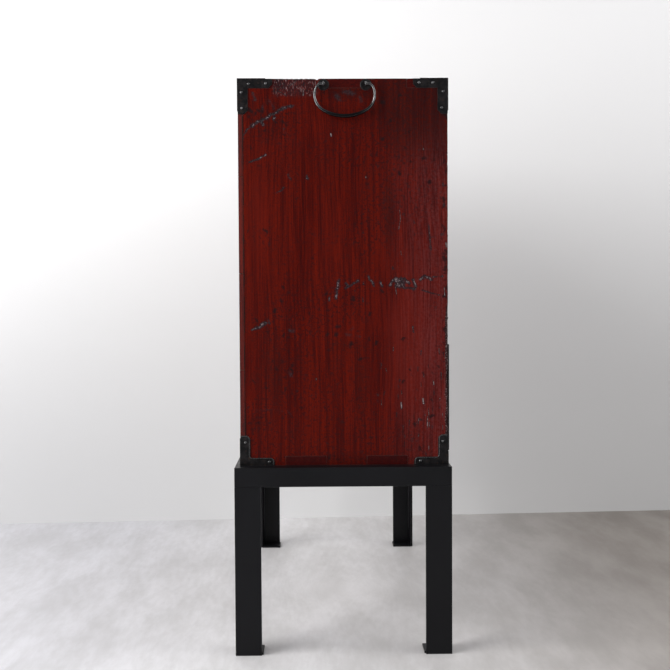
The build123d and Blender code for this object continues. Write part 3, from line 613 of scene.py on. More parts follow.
# A bite out of the top edge, a ragged rim over the bruise, and every mark sinks a little into the face.
bite_place, bite_half, bite_lean, bite_depth = 284, 3.2, 0.3, 0.005
rim_middle, rim_half, rim_depth = 330, 52, 0.0007
scar_depth, chip_depth = 0.00035, 0.0005
from_bite = np.abs(behind - bite_place + (height - board_tall) * bite_lean)
bite = np.clip(1 - from_bite / bite_half, 0, 1) * bite_depth
torn_rim = np.sin(behind * 1.7) * np.sin(behind * 0.61) + 0.6
ragged_rim = rim_depth * torn_rim * (np.abs(behind - rim_middle) < rim_half)
places[:, 2] -= np.where(height > board_tall - 1, np.maximum(bite, ragged_rim), 0)
sunk = np.clip(scar, 0, 1) * scar_depth + np.clip(chip, 0, 1) * chip_depth
places[:, 0] += np.where(on_face, sunk, 0)
board_mesh.vertices.foreach_set("co", places.ravel())

# The lacquer is rubbed off the front edge, most of all over its lower part.
rub_reach, rub_low, rub_high, rub_fade = 15, 30, 360, 40
outer_skin = 0.2
rub = np.where(inward < outer_skin, np.clip(1 - behind / rub_reach, 0, 1), 1.0)
rub = rub * (0.45 + 0.55 * np.clip((rub_high - height) / rub_fade, 0, 1)
             * np.clip((height - rub_low) / rub_fade, 0, 1))
rub = np.where(behind < worn_strip * 1000, rub, 0)
for label, values in (("scar", scar), ("chip", chip), ("smudge", smudge), ("stain", stain), ("light_and_dark", light_and_dark),
                      ("rub", rub)):
    stored = board_mesh.attributes.new(label, "FLOAT", "POINT")
    stored.data.foreach_set("value", values.astype(np.float32))
board_mesh.shade_smooth()
board_mesh.set_sharp_from_angle(angle=math.radians(28))


# The first colour is painted light on the brighter places; the filter darkens the darker ones, with painted
# shade round the handle.
painted_light_red = (0.125, 0.0085, 0.0040, 1)
darkening_filter = (0.55, 0.80, 1.0, 1)
cloudy_brown = (0.020, 0.0046, 0.0050, 1)
rosy_bloom = (0.140, 0.031, 0.031, 1)
stain_brown = (0.011, 0.0048, 0.0054, 1)
smudge_dark = (0.012, 0.008, 0.0095, 1)
smudge_grey = (0.037, 0.027, 0.031, 1)
scrape_dark = (0.007, 0.0055, 0.0068, 1)
scrape_grey = (0.030, 0.024, 0.028, 1)
scrape_speck = (0.19, 0.145, 0.15, 1)
chip_rim = (0.016, 0.009, 0.010, 1)
chip_ground = (0.13, 0.09, 0.09, 1)
chip_pale = (0.34, 0.28, 0.28, 1)
torn_dark = (0.013, 0.0075, 0.0080, 1)
torn_pale = (0.20, 0.14, 0.135, 1)
joint_dirt = (0.006, 0.005, 0.005, 1)


def scarred_lacquer():
    """The end board's lacquer with its marks, whose strengths are stored on the mesh."""
    made, tree, surface, place = new_finish("red_lacquer_scarred")
    colour, stain, figure = lacquer_colour(tree, place, "Z")
    ragged = noise(tree, place, 205.0, 5.0, 0.72)
    crumb = noise(tree, place, 310.0, 3.0, 0.65)
    mottle = noise(tree, place, 170.0, 5.0, 0.7)
    uneven = times(tree, arithmetic(tree, "SUBTRACT", ragged, 0.5), 2.2)

    def stored(label):
        return shader(tree, "Attribute", {"attribute_name": label}).outputs["Fac"]

    def mark(label, share, start, end):
        reach = plus(tree, stored(label), times(tree, uneven, share))
        return spread(tree, reach, start, end)

    # The wide places: the brighter ones take painted light, and the darker ones, with painted shade round the
    # handle, are darkened and gather small cloudy spots.
    light_and_dark = stored("light_and_dark")
    colour = tint(tree, spread(tree, light_and_dark, 0.0, -1.0, 0.0, 0.5), colour, painted_light_red)
    colour = tint(tree, spread(tree, light_and_dark, 0.0, 0.9, 0.0, 0.8), colour, darkening_filter, "MULTIPLY")
    gloom = plus(tree, times(tree, light_and_dark, 0.12), mottle)
    colour = tint(tree, spread(tree, gloom, 0.53, 0.68, 0.0, 0.65), colour, cloudy_brown)

    # Scuffs towards the front edge leave a thin rosy bloom.
    depth = axis_of(tree, place, "Y")
    handled = spread(tree, depth, board_front + 0.170, board_front)
    tall = axis_of(tree, place, "Z")
    handled = times(tree, handled, spread(tree, tall, board_base + 0.78, board_base + 0.60))
    bloom = spread(tree, plus(tree, figure["Line"], mottle), 0.85, 1.25, 0.10, 0.55)
    colour = tint(tree, times(tree, handled, bloom), colour, rosy_bloom)

    soaked = mark("stain", 0.7, 0.20, 0.70)
    colour = tint(tree, times(tree, soaked, 0.85), colour, stain_brown)
    stuck = mark("smudge", 0.6, 0.25, 0.75)
    grey = tint(tree, spread(tree, crumb, 0.35, 0.7), smudge_dark, smudge_grey)
    colour = tint(tree, times(tree, stuck, 0.76), colour, grey)
    scraped = mark("scar", 1.0, 0.30, 0.62)
    ground = tint(tree, spread(tree, crumb, 0.35, 0.7), scrape_dark, scrape_grey)
    specks = mark("scar", 1.8, 0.96, 1.20)
    ground = tint(tree, times(tree, specks, 0.85), ground, scrape_speck)
    colour = tint(tree, times(tree, scraped, 0.90), colour, ground)

    colour = bruised(tree, place, colour)
    rim = mark("chip", 0.5, 0.12, 0.45)
    colour = tint(tree, times(tree, rim, 0.75), colour, chip_rim)
    bared = mark("chip", 0.6, 0.55, 1.05)
    pale_ground = tint(tree, spread(tree, crumb, 0.35, 0.7), chip_ground, chip_pale)
    colour = tint(tree, bared, colour, pale_ground)

    fibre = noise(tree, stretched(tree, place, (330.0, 330.0, 38.0)), 1.0, 4.0, 0.6)
    rubbed = spread(tree, plus(tree, stored("rub"), fibre), 1.02, 1.22)
    torn = tint(tree, spread(tree, crumb, 0.50, 0.68), torn_dark, torn_pale)
    colour = tint(tree, times(tree, rubbed, 0.85), colour, torn)

    # The open joint against the back planks has filled with black dirt.
    seam = spread(tree, depth, board_rear - 0.0030, board_rear - 0.0008)
    broken = spread(tree, plus(tree, fibre, times(tree, light_and_dark, 0.3)), 0.38, 0.55)
    colour = tint(tree, times(tree, seam, broken), colour, joint_dirt)
    finish_lacquer(tree, surface, place, colour, stain, figure)
    return made


add_piece("left_end_board", board_mesh, scarred_lacquer(), ["side_board_left"])


# ---------------------------------------------------------------- the back and the inside
# Thin planks nailed over the rear, dust panels, divider and shelf, all of bare softwood that
# has gone brown with age. Only the sawn ends of the back planks were lacquered with the sides.

bare_pale = (0.27, 0.175, 0.105, 1)
bare_brown = (0.125, 0.075, 0.043, 1)
water_mark = (0.11, 0.065, 0.038, 1)
wood_rubbed = (0.12, 0.075, 0.045, 1)
wood_soot = (0.36, 0.31, 0.27, 1)


def bare_wood(name, along, lacquered=None, smoke=0.0, boxed=False):
    """Old softwood; lacquered names the axis whose faces are red, boxed turns the grain on sides."""
    made, tree, surface, place = new_finish(name)
    turned = turned_to_grain(tree, place, along)
    if boxed:
        across = spread(tree, arithmetic(tree, "ABSOLUTE", axis_of(tree, facing(tree), "X")), 0.68, 0.72)
        turned = tint(tree, across, turned, turned_to_grain(tree, place, "Y"))
    figure = apply_effect(tree, wood_figure, Place=turned)
    mixed = mixture(tree, (figure["Streak"], 0.6), (figure["Broad"], 0.4))
    colour = tint(tree, spread(tree, mixed, 0.34, 0.66), bare_pale, bare_brown)
    colour = tint(tree, spread(tree, figure["Line"], 0.5, 0.8, 0.0, 0.35), colour, bare_brown)
    water = spread(tree, noise(tree, place, 7.0, 5.0, 0.6), 0.52, 0.75, 0.0, 0.55)
    colour = tint(tree, water, colour, water_mark)
    rubbed = apply_effect(tree, edge_wear, Place=place, Radius=0.002, Grain=260.0, Amount=0.35)["Mask"]
    colour = tint(tree, times(tree, rubbed, 0.4), colour, wood_rubbed)
    if smoke:
        soot = spread(tree, noise(tree, place, 3.2, 4.0, 0.6), 0.35, 0.65, smoke * 0.75, smoke)
        colour = tint(tree, soot, colour, wood_soot, "MULTIPLY")
    if lacquered:
        turned_out = axis_of(tree, facing(tree), lacquered)
        if lacquered == "X":
            turned_out = arithmetic(tree, "ABSOLUTE", turned_out)
        else:
            turned_out = times(tree, turned_out, -1.0)
        red = lacquer_colour(tree, place, "Z")[0]
        colour = tint(tree, spread(tree, turned_out, 0.3, 0.7), colour, red)
    set_surface(tree, surface, colour, spread(tree, figure["Streak"], 0.3, 0.7, 0.55, 0.75), gloss=0.2)
    raise_relief(tree, surface, figure["Line"], strength=0.6, distance=0.0006)
    return made


back_wood = bare_wood("bare_wood_back", "X", lacquered="X", smoke=0.8)
dress("back_boards", back_wood, 0.0009)
inner_wood = bare_wood("bare_wood_inside", "X")
for name in ("dust_panels", "cupboard_shelf"):
    dress(name, inner_wood, 0.0005)
dress("divider_board", bare_wood("bare_wood_divider", "Z", lacquered="Y"), 0.0005)


# ---------------------------------------------------------------- corner irons and their nails
# Sheet iron cut and bent by hand over every corner of the ends, blackened over the fire and
# held by forged nails with domed heads, whose crowns have been polished by dusting.

iron_dull, iron_clean = (0.0016, 0.0015, 0.0019), (0.0100, 0.0086, 0.0090)
iron_rust = (0.052, 0.026, 0.017, 1)
iron_rubbed = (0.060, 0.054, 0.053, 1)
iron_grease_and_shade = (0.016, 0.015, 0.0155, 1)


def blackened_iron(name, rust, polish=0.0, gloss=0.2, bare=0.0, beating=0.5, edge=0.5, grip=None):
    """Fire-blackened iron; below grip's first height it takes the full dark of hand grease and painted shade,
    which is gone at its second.
    """
    made, tree, surface, place = new_finish(name)
    cloud = noise(tree, place, 60.0, 6.0, 0.72)
    pit = noise(tree, place, 480.0, 4.0, 0.65)
    dull = [value + 0.06 * bare for value in iron_dull]
    clean = [value + 0.15 * bare for value in iron_clean]
    colour = tint(tree, spread(tree, cloud, 0.40, 0.64), (*dull, 1), (*clean, 1))
    rusty = spread(tree, noise(tree, place, 95.0, 6.0, 0.7), 0.60 - 0.14 * rust, 0.80 - 0.14 * rust)
    colour = tint(tree, times(tree, rusty, rust), colour, iron_rust)
    rubbed = apply_effect(tree, edge_wear, Place=place, Radius=0.0009, Grain=420.0, Amount=0.5)["Mask"]
    colour = tint(tree, times(tree, rubbed, edge), colour, iron_rubbed)
    dusty = apply_effect(tree, settled_dust, Place=place, Amount=0.22)["Mask"]
    colour = tint(tree, dusty, colour, house_dust)
    # Darker towards the foot: hand grease and painted shade.
    if grip:
        greasy_and_shaded = spread(tree, axis_of(tree, place, "Z"), grip[1], grip[0])
        colour = tint(tree, greasy_and_shaded, colour, iron_grease_and_shade)
    smooth = plus(tree, spread(tree, pit, 0.3, 0.7, 0.34, 0.50), times(tree, rusty, 0.22))
    set_surface(tree, surface, colour, arithmetic(tree, "SUBTRACT", smooth, polish), gloss)
    surface.inputs["Metallic"].default_value = bare
    beaten = noise(tree, place, 130.0, 2.0)
    relief = plus(tree, times(tree, pit, 0.3), beaten)
    raise_relief(tree, surface, relief, strength=beating, distance=0.0006)
    return made


sheet_iron = blackened_iron("black_iron_sheet", rust=0.45, gloss=0.15)
bright_iron = blackened_iron("black_iron_polished", rust=0.12, polish=0.20, gloss=1.0, bare=0.6, beating=0.3)


def solids_of(name):
    """The separate solids of a node, in their own order, each as (points, faces, lowest, highest)."""
    joined = bmesh.new()
    joined.from_mesh(nodes[name].data)
    bmesh.ops.remove_doubles(joined, verts=joined.verts, dist=same_place)
    joined.verts.index_update()
    joined.faces.index_update()
    joined.faces.ensure_lookup_table()
    seen = [False] * len(joined.faces)
    found = []
    for first in joined.faces:
        if seen[first.index]:
            continue
        seen[first.index] = True
        waiting = [first]
        members = []
        while waiting:
            face = waiting.pop()
            members.append(face)
            for edge in face.edges:
                for other in edge.link_faces:
                    if not seen[other.index]:
                        seen[other.index] = True
                        waiting.append(other)
        order = {}
        faces = []
        for face in members:
            faces.append([order.setdefault(vert.index, len(order)) for vert in face.verts])
        joined.verts.ensure_lookup_table()
        points = [joined.verts[index].co.copy() for index in order]
        lowest = Vector([min(point[axis] for point in points) for axis in range(3)])
        highest = Vector([max(point[axis] for point in points) for axis in range(3)])
        found.append((points, faces, lowest, highest))
    joined.free()
    return found


class Shape:
    """Points and faces gathered for one piece."""

    def __init__(self):
        self.points = []
        self.faces = []

    def add_rings(self, rings, close_start=True):
        """Skins closed rings of points, one after another, and closes the last one."""
        start = len(self.points)
        count = len(rings[0])
        for ring in rings:
            self.points.extend(ring)
        for number in range(len(rings) - 1):
            for side in range(count):
                a = start + number * count + side
                b = start + number * count + (side + 1) % count
                self.faces.append((a, b, b + count, a + count))
        if close_start:
            self.faces.append(tuple(range(start + count - 1, start - 1, -1)))
        last = start + (len(rings) - 1) * count
        self.faces.append(tuple(range(last, last + count)))

    def add_solid(self, points, faces):
        start = len(self.points)
        self.points.extend(points)
        self.faces.extend([tuple(start + index for index in face) for face in faces])

    def mesh(self, name, smooth_angle=40):
        made = bpy.data.meshes.new(name)
        made.from_pydata([tuple(point) for point in self.points], [], self.faces)
        tidy = bmesh.new()
        tidy.from_mesh(made)
        bmesh.ops.recalc_face_normals(tidy, faces=tidy.faces)
        tidy.to_mesh(made)
        tidy.free()
        made.shade_smooth()
        made.set_sharp_from_angle(angle=math.radians(smooth_angle))
        return made


def upright_frame(outward):
    """Two directions across the outward one."""
    first = Vector((0, 0, 1)) if abs(outward.z) < 0.9 else Vector((1, 0, 0))
    second = outward.cross(first).normalized()
    return second.cross(outward).normalized(), second


nail_widest, nail_tallest = 0.009, 0.004
nail_wobble = 0.04
nail_sides = 14
nail_profile = [(1.0, 0.0), (1.02, 0.22), (0.86, 0.58), (0.55, 0.86), (0.20, 0.99)]


def is_nail(lowest, highest):
    size = sorted(highest - lowest)
    return size[2] < nail_widest and size[0] < nail_tallest


def add_nail(shape, lowest, highest, outward, chance):
    """A domed head on the footprint of one nail solid, no two quite alike."""
    middle = (lowest + highest) / 2
    tall = abs((highest - lowest).dot(outward))
    wide = sorted(highest - lowest)[2] / 2
    foot = middle - outward * (tall / 2)
    across, over = upright_frame(outward)
    radius = wide * chance.uniform(0.88, 1.0)
    lean = chance.uniform(0, math.pi)
    narrow = chance.uniform(0.90, 1.0)
    rings = []
    for reach, rise in nail_profile:
        ring = []
        for side in range(nail_sides):
            angle = 2 * math.pi * side / nail_sides
            wobble = 1 + nail_wobble * math.sin(3 * angle + lean * 5)
            u = math.cos(angle) * radius * reach * wobble
            v = math.sin(angle) * radius * reach * wobble * narrow
            turned_u = u * math.cos(lean) - v * math.sin(lean)
            turned_v = u * math.sin(lean) + v * math.cos(lean)
            ring.append(foot + across * turned_u + over * turned_v + outward * (rise * tall))
        rings.append(ring)
    shape.add_rings(rings, close_start=False)


end_nails = Shape()
nail_chance = random.Random(3)
for points, faces, lowest, highest in solids_of("corner_iron_nails"):
    outward = Vector((-1, 0, 0)) if lowest.x < 0 else Vector((1, 0, 0))
    add_nail(end_nails, lowest, highest, outward, nail_chance)
add_piece("corner_nails", end_nails.mesh("corner_nails"), bright_iron, ["corner_iron_nails"])
for name in ("corner_irons_left", "corner_irons_right", "frame_straps"):
    dress(name, sheet_iron, 0.0003)

# A raised bead runs round the inner outline of each iron at the foot of the ends.
foot_arm_along, foot_arm_up = 0.075, 0.066
foot_width_along, foot_width_up = 0.017, 0.022
bead_inset = 0.0014
bead_half = 0.0007
bead_bend = 0.007
bead_steps = 6
bead_start, bead_end = 0.003, 0.002


def add_bead(shape, corner, along, outward):
    """A half-round bead on one foot iron; along runs from its corner into the end board."""
    def at(across, above):
        return corner + along * across + Vector((0, 0, above))

    upper, lower = foot_arm_up - bead_inset, foot_width_along - bead_inset
    inner, outer = foot_width_up - bead_inset, foot_arm_along - bead_inset
    route = [at(bead_start, upper)]
    for centre_across, centre_above, start, end in ((inner - bead_bend, upper - bead_bend, 90, 0),
                                                    (inner + bead_bend, lower + bead_bend, 180, 270),
                                                    (outer - bead_bend, lower - bead_bend, 90, 0)):
        for step in range(bead_steps + 1):
            angle = math.radians(start + (end - start) * step / bead_steps)
            route.append(at(centre_across + bead_bend * math.cos(angle),
                            centre_above + bead_bend * math.sin(angle)))
    route.append(at(outer, bead_end))
    rings = []
    for number, point in enumerate(route):
        run = (route[min(number + 1, len(route) - 1)] - route[max(number - 1, 0)]).normalized()
        side_way = run.cross(outward)
        rings.append([point + (side_way * math.cos(angle) + outward * math.sin(angle)) * bead_half
                      for angle in [math.pi * step / bead_steps for step in range(bead_steps + 1)]])
    shape.add_rings(rings)


rubbed_iron = blackened_iron("black_iron_rubbed", rust=0.5, polish=0.12, gloss=0.7, bare=0.25, edge=0.9)
for side, face_way in (("left", -1), ("right", 1)):
    irons_low, irons_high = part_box("corner_irons_" + side)
    outward = Vector((face_way, 0, 0))
    face_x = irons_low.x if face_way < 0 else irons_high.x
    beads = Shape()
    for edge_y, way in ((irons_low.y, 1), (irons_high.y, -1)):
        add_bead(beads, Vector((face_x, edge_y, irons_low.z)), Vector((0, way, 0)), outward)
    made = beads.mesh("foot_iron_beads_" + side)
    made.materials.append(rubbed_iron)
    bead_piece = bpy.data.objects.new("foot_iron_beads_" + side, made)
    bpy.context.scene.collection.objects.link(bead_piece)
    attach(bead_piece, body_of["corner_irons_" + side])

strap_nails = Shape()
for points, faces, lowest, highest in solids_of("frame_strap_nails"):
    add_nail(strap_nails, lowest, highest, Vector((0, -1, 0)), nail_chance)
add_piece("strap_nails", strap_nails.mesh("strap_nails"), bright_iron, ["frame_strap_nails"])


# ---------------------------------------------------------------- end handles
# A forged bail hangs from two ring-headed split pins, each driven through a round rosette.
# The rod is drawn thinner to the pins and left thick where the hand takes it.

pin_radius = 0.0025
bail_lean = math.radians(27)
ring_wire = 0.00135
ring_outer = 0.0052
ring_width = 0.0044
rosette_radius = 0.0125
rosette_rise = 0.0016
rosette_profile = ((1.0, 0.0), (1.0, 0.45), (0.93, 0.85), (0.70, 1.0), (0.30, 1.0))
rosette_sides = 40
neck_profile = ((0.0, 0.0026, 0.0034), (0.25, 0.0021, 0.0029), (0.6, 0.0021, 0.0027))
neck_sides = 16
neck_sunk = 0.004
tip_share, tip_length = 0.55, 0.0004
pin_inset = 0.0037


def bail_line(half_width, drop, turn, corner, grip, steps):
    """Half of a bail from its pin to its middle: (sideways, down, angle of its run, radius)."""
    corner_side = half_width - corner
    turn_side = corner_side + (corner - turn) * math.cos(bail_lean)
    corner_down = -turn - (corner - turn) * math.sin(bail_lean)
    depth = drop + corner_down
    bottom = (corner_side ** 2 + depth ** 2 - corner ** 2) / (2 * (depth - corner))
    bottom_down = -drop + bottom
    meet = math.atan2(bottom_down - corner_down, corner_side)
    length = corner * (meet + bail_lean) + bottom * (math.pi / 2 - meet)
    line = []
    run = -turn * (math.pi / 2 - bail_lean)
    for side, down, radius, start, end in ((turn_side, -turn, turn, -math.pi / 2, -bail_lean),
                                           (corner_side, corner_down, corner, -bail_lean, meet),
                                           (0, bottom_down, bottom, meet, math.pi / 2)):
        for number in range(steps):
            angle = start + (end - start) * number / steps
            share = max(0, (run + radius * (angle - start)) / length)
            line.append((side + radius * math.cos(angle), down - radius * math.sin(angle), angle,
                         pin_radius + (grip - pin_radius) * share * share * (3 - 2 * share)))
        run += radius * (end - start)
    line.append((0, -drop, math.pi / 2, grip))
    return line


def add_bail(shape, centre, across, outward, line, pin_start, sides=20):
    """Skins a bail that hangs below its centre; across runs along the pins."""
    half = [(pin_start, 0.0, -math.pi / 2, pin_radius * tip_share),
            (pin_start + tip_length, 0.0, -math.pi / 2, pin_radius)] + line
    whole = [(-sideways, down, math.pi - angle, radius) for sideways, down, angle, radius in half]
    rings = []
    for sideways, down, angle, radius in half + whole[:-1][::-1]:
        middle = centre + across * sideways + Vector((0, 0, down))
        run = -across * math.sin(angle) - Vector((0, 0, math.cos(angle)))
        side_way = run.cross(outward).normalized()
        turns = [2 * math.pi * side / sides for side in range(sides)]
        rings.append([middle + (side_way * math.cos(turn) + outward * math.sin(turn)) * radius
                      for turn in turns])
    shape.add_rings(rings)


def add_rosette(shape, foot, outward, across):
    """A low domed washer under a split pin."""
    over = outward.cross(across).normalized()
    turns = [2 * math.pi * side / rosette_sides for side in range(rosette_sides)]
    shape.add_rings([[foot + (across * math.cos(turn) + over * math.sin(turn)) * rosette_radius * share
                      + outward * rosette_rise * rise for turn in turns]
                     for share, rise in rosette_profile], close_start=False)


def add_eye(shape, foot, outward, across, reach):
    """A split pin with a ring head; across is the way of the bore."""
    over = outward.cross(across).normalized()
    turns = [2 * math.pi * side / neck_sides for side in range(neck_sides)]
    shape.add_rings([[foot + across * math.cos(turn) * half_across + over * math.sin(turn) * half_over
                      + outward * (rosette_rise + rise * (reach - rosette_rise - neck_sunk))
                      for turn in turns] for rise, half_across, half_over in neck_profile])
    centre = foot + outward * reach
    middle_radius = ring_outer - ring_wire
    start = len(shape.points)
    around, through = 32, 12
    for step in range(around):
        angle = 2 * math.pi * step / around
        spoke = over * math.cos(angle) + outward * math.sin(angle)
        for side in range(through):
            turn = 2 * math.pi * side / through
            shape.points.append(centre + spoke * (middle_radius + ring_wire * math.cos(turn))
                                + across * (ring_width / 2 * math.sin(turn)))
    for step in range(around):
        this, following = start + step * through, start + (step + 1) % around * through
        for side in range(through):
            turned = (side + 1) % through
            shape.faces.append((this + side, this + turned, following + turned, following + side))


end_eye_reach = 0.012
end_posts = 0.092
end_bail = bail_line(half_width=0.065, drop=0.069, turn=0.012, corner=0.038, grip=0.0043, steps=12)
forged_iron = blackened_iron("black_iron_forged", rust=0.08, polish=0.28, gloss=0.8, beating=0.12, edge=0.06)
bail_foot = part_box("end_bail_left")[0].z
# The bail is painted darker towards its foot: hand grease and painted shade on its underside.
grip_foot, grip_top = 0.006, 0.036
handled_iron = blackened_iron("black_iron_handled", rust=0.08, polish=0.27, bare=1.0, beating=0.12, edge=0.06,
                              grip=(bail_foot + grip_foot, bail_foot + grip_top))
for side, face_way in (("left", -1), ("right", 1)):
    eyes_low, eyes_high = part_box("end_handle_eyes_" + side)
    outward = Vector((face_way, 0, 0))
    along = Vector((0, 1, 0))
    foot = Vector((eyes_high.x if face_way < 0 else eyes_low.x, (eyes_low.y + eyes_high.y) / 2,
                   eyes_low.z + rosette_radius))
    eyes, rosettes = Shape(), Shape()
    for way in (-1, 1):
        post = foot + along * (way * end_posts / 2)
        add_rosette(rosettes, post, outward, along)
        add_eye(eyes, post, outward, along, end_eye_reach)
    for label, shape, finish in (("posts_", eyes, forged_iron), ("rosettes_", rosettes, sheet_iron)):
        name = "end_handle_" + label + side
        add_piece(name, shape.mesh(name), finish, ["end_handle_eyes_" + side])
    bail = Shape()
    add_bail(bail, foot + outward * end_eye_reach, along, outward, end_bail, end_posts / 2 - pin_inset)
    add_piece("end_handle_bail_" + side, bail.mesh("end_handle_bail_" + side), handled_iron,
              ["end_bail_" + side])


# ---------------------------------------------------------------- drawers
# Lacquered fronts over bare softwood boxes, with iron corners, a round lock plate on each wide
# drawer, and bails in ring-headed pins.

front_out = Vector((0, -1, 0))
front_along = Vector((1, 0, 0))
front_posts = 0.080
eye_shortest, plate_thickest = 0.010, 0.002
front_bail = bail_line(half_width=0.055, drop=0.050, turn=0.009, corner=0.026, grip=0.0034, steps=9)
box_wood = bare_wood("bare_wood_drawers", "X", boxed=True)


def dress_front_irons(node, stem):
    """Nails, eyes and plates of one front, each as its own smooth piece."""
    plates, heads, eyes, rosettes, rounds = Shape(), Shape(), Shape(), Shape(), Shape()
    for points, faces, lowest, highest in solids_of(node):
        size = highest - lowest
        if is_nail(lowest, highest):
            add_nail(heads, lowest, highest, front_out, nail_chance)
        elif size.y > eye_shortest:
            foot = Vector(((lowest.x + highest.x) / 2, highest.y, (lowest.z + highest.z) / 2))
            add_rosette(rosettes, foot, front_out, front_along)
            add_eye(eyes, foot, front_out, front_along, end_eye_reach)
        elif size.y > plate_thickest:
            rounds.add_solid(points, faces)
        else:
            plates.add_solid(points, faces)
    for label, shape, finish, edge in (
            ("corners", plates, sheet_iron, 0.0003), ("nails", heads, bright_iron, 0),
            ("posts", eyes, forged_iron, 0), ("rosettes", rosettes, sheet_iron, 0),
            ("lock_plate", rounds, sheet_iron, 0.0004)):
        if not shape.points:
            continue
        piece = add_piece(stem + "_" + label, shape.mesh(stem + "_" + label), finish, [node])
        if edge:
            break_edges(piece, edge)


def hang_front_bail(node):
    lowest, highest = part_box(node)
    centre = Vector(((lowest.x + highest.x) / 2, (lowest.y + highest.y) / 2, highest.z - pin_radius))
    bail = Shape()
    add_bail(bail, centre, front_along, front_out, front_bail, front_posts / 2 - pin_inset, sides=16)
    add_piece(node + "_forged", bail.mesh(node + "_forged"), forged_iron, [node])


for stem in ("drawer_1", "drawer_2", "drawer_3", "small_drawer_1", "small_drawer_2"):
    dress(stem + "_front", level_lacquer, 0.0008)
    dress(stem + "_box", box_wood, 0.0006)
    dress_front_irons(stem + "_irons", stem)
    if stem.startswith("small"):
        hang_front_bail(stem + "_bail")
    else:
        dress(stem + "_lock", sheet_iron, 0)
        hang_front_bail(stem + "_bail_left")
        hang_front_bail(stem + "_bail_right")


# ---------------------------------------------------------------- the cupboard door
# A lacquered board that swings on two iron pins at the left edge of the front. Its fixed leaf
# is one tall plate on the edge of the end board, which shows from the side as a dark strip.

dress("door_panel", level_lacquer, 0.0008)
dress_front_irons("door_irons", "door")
for name in ("door_hinge_plate", "door_hinge_straps", "door_hinge_pins", "door_lock"):
    dress(name, sheet_iron, 0)


# ---------------------------------------------------------------- the room
# A plain room: pale stone floor, a white wall behind, and a window to the left of the viewer,
# with softer lamps on the side of the chest's front. Nothing here belongs to the chest.

stand_low, stand_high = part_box("stand_end_rails")
stand_middle = (stand_low.y + stand_high.y) / 2
camera_place = Vector((-2.859, stand_middle + 0.049, 0.7821))
camera_yaw = math.radians(0.804)
camera_pitch = math.radians(-2.111)
camera_roll = math.radians(-0.305)
camera_lens = 58.14

ahead = Vector((math.cos(camera_yaw) * math.cos(camera_pitch),
                -math.sin(camera_yaw) * math.cos(camera_pitch), math.sin(camera_pitch)))
level = Vector((-math.sin(camera_yaw), -math.cos(camera_yaw), 0))
above = level.cross(ahead)
right = math.cos(camera_roll) * level + math.sin(camera_roll) * above
up = -math.sin(camera_roll) * level + math.cos(camera_roll) * above
camera_data = bpy.data.cameras.new("camera")
camera_data.sensor_width = 36
camera_data.lens = camera_lens
camera = bpy.data.objects.new("camera", camera_data)
turn = Matrix((right, up, -ahead)).transposed()
camera.matrix_world = Matrix.Translation(camera_place) @ turn.to_4x4()
bpy.context.scene.collection.objects.link(camera)
bpy.context.scene.camera = camera


def staged_plane(name, corners, finish):
    mesh = bpy.data.meshes.new(name)
    mesh.from_pydata(corners, [], [tuple(range(len(corners)))])
    mesh.materials.append(finish)
    made = bpy.data.objects.new(name, mesh)
    bpy.context.scene.collection.objects.link(made)


stone_pale, stone_paler = (0.57, 0.56, 0.56, 1), (0.70, 0.69, 0.70, 1)
# Darker warm stone for the painted shade away from the window, and a cool cast of painted window light.
stone_in_painted_shade, stone_in_lighter_painted_shade = (0.225, 0.20, 0.178, 1), (0.30, 0.272, 0.248, 1)
stone_cool = (0.89, 0.90, 0.935, 1)
stone_grain = (0.30, 0.28, 0.27, 1)


def stone_floor():
    """Pale stone, with a cool cast of painted window light on the window's side and painted warm shade away
    from the window.
    """
    made, tree, surface, place = new_finish("pale_stone_floor")
    axes = shader(tree, "SeparateXYZ", Vector=place).outputs
    # Painted warm shade away from the window and from the viewer.
    painted_warm_shade = times(tree, spread(tree, axes["Y"], 0.15, -1.0), spread(tree, axes["X"], -1.1, -0.7))
    cloud = spread(tree, noise(tree, stretched(tree, place, (1.2, 3.5, 1.0)), 2.2, 6.0, 0.62), 0.32, 0.68)
    grain = spread(tree, noise(tree, stretched(tree, place, (18.0, 60.0, 1.0)), 1.0, 4.0, 0.6), 0.35, 0.65)
    pale = tint(tree, cloud, stone_pale, stone_paler)
    pale = tint(tree, spread(tree, axes["Y"], 0.1, 0.8), pale, stone_cool, "MULTIPLY")
    colour = tint(tree, painted_warm_shade, pale, tint(tree, cloud, stone_in_painted_shade, stone_in_lighter_painted_shade))
    colour = tint(tree, times(tree, grain, 0.12), colour, stone_grain)
    set_surface(tree, surface, colour, roughness=0.45, gloss=0.3)
    return made


# Painted light and shade on the wall: darker at its foot, brighter at its head on the window's side.
wall_foot_right, wall_foot_left = (0.66, 0.66, 0.66, 1), (0.52, 0.52, 0.525, 1)
wall_head_left, wall_head_right = (0.86, 0.86, 0.86, 1), (0.77, 0.77, 0.775, 1)


def white_wall():
    """White plaster towards the chest, with painted light and shade: darker towards its foot, most of all on
    the window's side, and lightest high on the window's side; its back lets light and sight through.
    """
    made, tree, surface, place = new_finish("white_wall")
    axes = shader(tree, "SeparateXYZ", Vector=place).outputs
    foot = tint(tree, spread(tree, axes["Y"], -0.6, 1.3), wall_foot_right, wall_foot_left)
    head = tint(tree, spread(tree, axes["Y"], 0.2, -1.5), wall_head_left, wall_head_right)
    colour = tint(tree, spread(tree, axes["Z"], 0.1, 1.7), foot, head)
    set_surface(tree, surface, colour, roughness=0.9, gloss=0.1)
    behind = shader(tree, "NewGeometry").outputs["Backfacing"]
    clear = shader(tree, "BsdfTransparent").outputs[0]
    both = tree.nodes.new("ShaderNodeMixShader")
    tree.links.new(behind, both.inputs[0])
    tree.links.new(surface.outputs[0], both.inputs[1])
    tree.links.new(clear, both.inputs[2])
    tree.links.new(both.outputs[0], tree.nodes["Material Output"].inputs["Surface"])
    return made


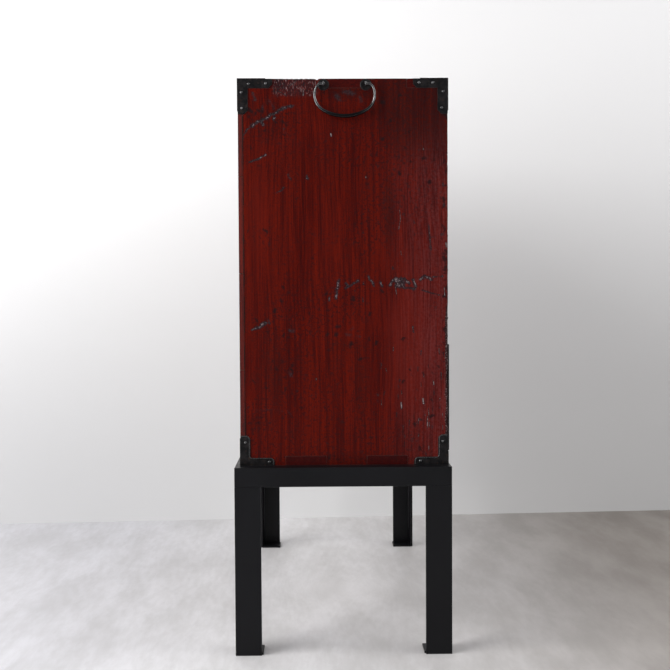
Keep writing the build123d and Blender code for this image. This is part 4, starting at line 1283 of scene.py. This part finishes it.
wall_x = 0.931
wall_lean = 0.062
wall_half, wall_height = 6, 5
wall_right, wall_left = wall_x + wall_lean * wall_half, wall_x - wall_lean * wall_half
floor_reach = 9.0
floor_corners = [(x * floor_reach, y * floor_reach, 0) for x, y in ((-1, -1), (1, -1), (1, 1), (-1, 1))]
staged_plane("floor", floor_corners, stone_floor())
staged_plane("wall", [(wall_right, -wall_half, 0), (wall_right, -wall_half, wall_height),
                      (wall_left, wall_half, wall_height), (wall_left, wall_half, 0)], white_wall())


def soft_lamp(name, place, target, size, power, colour):
    data = bpy.data.lights.new(name, "AREA")
    data.shape = "RECTANGLE"
    data.size, data.size_y = size
    data.energy = power
    data.color = colour
    made = bpy.data.objects.new(name, data)
    made.location = place
    made.rotation_euler = (Vector(target) - Vector(place)).to_track_quat("-Z", "Y").to_euler()
    bpy.context.scene.collection.objects.link(made)


soft_lamp("window", (-1.9, 3.3, 2.3), (0.3, 0.0, 0.7), (3.2, 2.2), 170.0, (1.0, 0.995, 0.99))
soft_lamp("low window", (-1.7, 3.0, 0.7), (0.0, -0.2, 0.2), (3.0, 1.2), 46.0, (1.0, 0.995, 0.99))
soft_lamp("left fill", (-2.5, -3.2, 2.2), (0, 0, 0.8), (2.5, 2.0), 20.0, (0.97, 0.98, 1.0))
soft_lamp("front fill", (-0.3, -3.4, 2.9), (0.7, -0.4, 1.5), (2.4, 1.8), 64.0, (1.0, 0.99, 0.98))

room_pale = (0.86, 0.86, 0.86, 1)
room_dim = (0.16, 0.16, 0.165, 1)
room_lit = (0.85, 0.86, 0.90, 1)
room_light = (0.42, 0.42, 0.43, 1)
world = bpy.data.worlds.new("room light")
world.use_nodes = True
bpy.context.scene.world = world
tree = world.node_tree
path = shader(tree, "LightPath").outputs
background = tree.nodes["Background"]
toward = shader(tree, "TexCoord").outputs["Generated"]
near_side = tint(tree, spread(tree, axis_of(tree, toward, "Y"), 0.15, -0.35), room_dim, room_lit)
seen_room = tint(tree, spread(tree, axis_of(tree, toward, "X"), -0.7, 0.1), near_side, room_pale)
looked_at = arithmetic(tree, "MAXIMUM", path["Is Camera Ray"], path["Is Glossy Ray"])
looked_at = arithmetic(tree, "MAXIMUM", looked_at, path["Is Transmission Ray"])
tree.links.new(tint(tree, looked_at, room_light, seen_room), background.inputs["Color"])

bpy.context.scene.view_settings.view_transform = "Standard"
